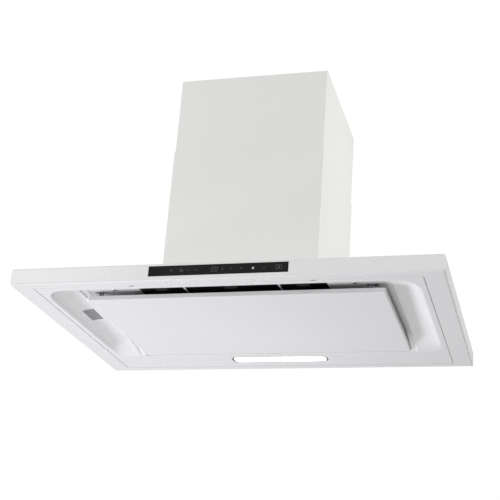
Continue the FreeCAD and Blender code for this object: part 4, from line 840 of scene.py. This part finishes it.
join(tree, shader, Base_Color=blend(tree, winding, iron_tone, copper_tone),
     Metallic=spread(tree, winding, 0.6, 0.9), Roughness=spread(tree, winding, 0.5, 0.32))
relief(tree, shader, height, 0.0001)
coat(iron, "motor_stator", "motor_rotor")

# ---- Studio --------------------------------------------------------------------------------------
# A pale floor far below the hanging hood, a white surround brighter in front than behind, and
# soft lights: low at the left for the underside, one below, one at the left front, one at the
# right for the chimney's side, and a small one that gives the lamp's glow back to the panel.
scene = bpy.context.scene
scene.view_settings.view_transform = "Standard"

ABOVE, FRONT, REAR = 0.213, 1.02, 0.40
FLOOR_LEVEL, FLOOR_HALF = -3.8, 15.0
LOW_TINT, HIGH_TINT = (0.955, 0.96, 1.0, 1), (1.0, 1.0, 0.985, 1)
WHITE_SEEN = 1.02
floor_shape = bmesh.new()
bmesh.ops.create_grid(floor_shape, x_segments=8, y_segments=8, size=FLOOR_HALF)
bmesh.ops.translate(floor_shape, verts=floor_shape.verts, vec=(0, 0, FLOOR_LEVEL))
pale, tree, shader = finish("pale_floor", Roughness=0.8)
patches = add(tree, "ShaderNodeGroup", {"Patch": 1.5}, node_tree=cloud)
join(tree, shader, Base_Color=blend(tree, patches.outputs["Drift"], (0.80, 0.80, 0.80, 1),
                                    (0.83, 0.83, 0.83, 1)))
piece("floor", floor_shape, pale)

world = bpy.data.worlds.new("surround")
scene.world = world
world.use_nodes = True
air = world.node_tree
background = air.nodes["Background"]
way = add(air, "ShaderNodeTexCoord").outputs["Generated"]
parts = add(air, "ShaderNodeSeparateXYZ", {0: way})
seen = add(air, "ShaderNodeLightPath").outputs["Is Camera Ray"]
height = spread(air, parts.outputs["Z"], 0.0, 1.0, -0.5, 0.5)
tone = blend(air, height, LOW_TINT, HIGH_TINT)
lift = spread(air, parts.outputs["Z"], 0.0, ABOVE, -0.5, 0.5)
forward = maths(air, "MULTIPLY", parts.outputs["Y"], -1.0)
ahead_of = maths(air, "MULTIPLY", maths(air, "MAXIMUM", forward), FRONT)
behind = maths(air, "MULTIPLY", maths(air, "MAXIMUM", parts.outputs["Y"]), REAR)
glow = maths(air, "ADD", lift, maths(air, "ADD", ahead_of, behind))
air.links.new(blend(air, seen, tone, (1, 1, 1, 1)), background.inputs["Color"])
air.links.new(add(air, "ShaderNodeMix", {0: seen, 2: glow, 3: WHITE_SEEN}).outputs[0],
              background.inputs["Strength"])


def soft_light(name, at, towards, size, power, colour, spread_angle=180):
    lamp = bpy.data.lights.new(name, "AREA")
    lamp.shape, lamp.size, lamp.size_y = "RECTANGLE", size[0], size[1]
    lamp.energy, lamp.color, lamp.spread = power, colour, math.radians(spread_angle)
    made = bpy.data.objects.new(name, lamp)
    made.location = at
    made.rotation_mode = "QUATERNION"
    made.rotation_quaternion = (Vector(towards) - Vector(at)).to_track_quat("-Z", "Y")
    made.visible_camera = False
    scene.collection.objects.link(made)
    return made


soft_light("left_low", (-3.3, -0.2, -1.5), (0.0, 0.0, -0.5), (1.4, 0.6), 124, (0.95, 0.94, 1.0))
soft_light("below", (-0.6, 0.0, -1.5), (-0.2, 0.0, -0.5), (1.0, 1.0), 3.5, (0.96, 0.96, 1.0))
soft_light("left_front", (-1.6, -2.0, 0.6), (0.0, 0.0, -0.3), (1.2, 1.2), 8.5, (1.0, 1.0, 0.99))
right_high = soft_light("right_high", (1.9, 0.1, 0.35), (0.17, 0.0, -0.2), (0.9, 0.9), 3.5,
                        (1.0, 1.0, 0.98), 60)
right_high.visible_glossy = False

# A flag: a card that keeps most of the low light off the chimney's left side.
FLAG_X, FLAG_LOW, FLAG_HIGH = -1.0, -0.70, -0.28
FLAG_FRONT, FLAG_BACK = -0.40, 0.30
card = bmesh.new()
card.faces.new([card.verts.new((FLAG_X, y, z)) for y, z in (
    (FLAG_FRONT, FLAG_LOW), (FLAG_BACK, FLAG_LOW), (FLAG_BACK, FLAG_HIGH), (FLAG_FRONT, FLAG_HIGH))])
flag = piece("flag", card, pale)
flag.visible_camera = flag.visible_glossy = flag.visible_diffuse = flag.visible_transmission = False
soft_light("lamp_return", (0.02, 0.10, -0.78), (0.02, 0.11, -0.545), (0.2, 0.12), 0.035,
           (0.85, 0.93, 1.0))

# ---- Camera --------------------------------------------------------------------------------------
# Eye below the canopy at its right front, looking up at the underside, with a slight tilt.
YAW, PITCH, ROLL = 0.2697, 0.3548, 0.0680
EYE_AT = (0.6823, -2.3229, -1.3721)
eye = bpy.data.cameras.new("eye")
eye.lens, eye.shift_x, eye.shift_y = 83.32, -0.0503, 0.1001
camera = bpy.data.objects.new("eye", eye)
ahead = Vector((-math.sin(YAW) * math.cos(PITCH), math.cos(YAW) * math.cos(PITCH), math.sin(PITCH)))
level = Vector((math.cos(YAW), math.sin(YAW), 0))
above = level.cross(ahead)
across = level * math.cos(ROLL) + above * math.sin(ROLL)
upward = above * math.cos(ROLL) - level * math.sin(ROLL)
camera.matrix_world = Matrix.Translation(EYE_AT) @ Matrix(
    (across, upward, -ahead)).transposed().to_4x4()
scene.collection.objects.link(camera)
scene.camera = camera
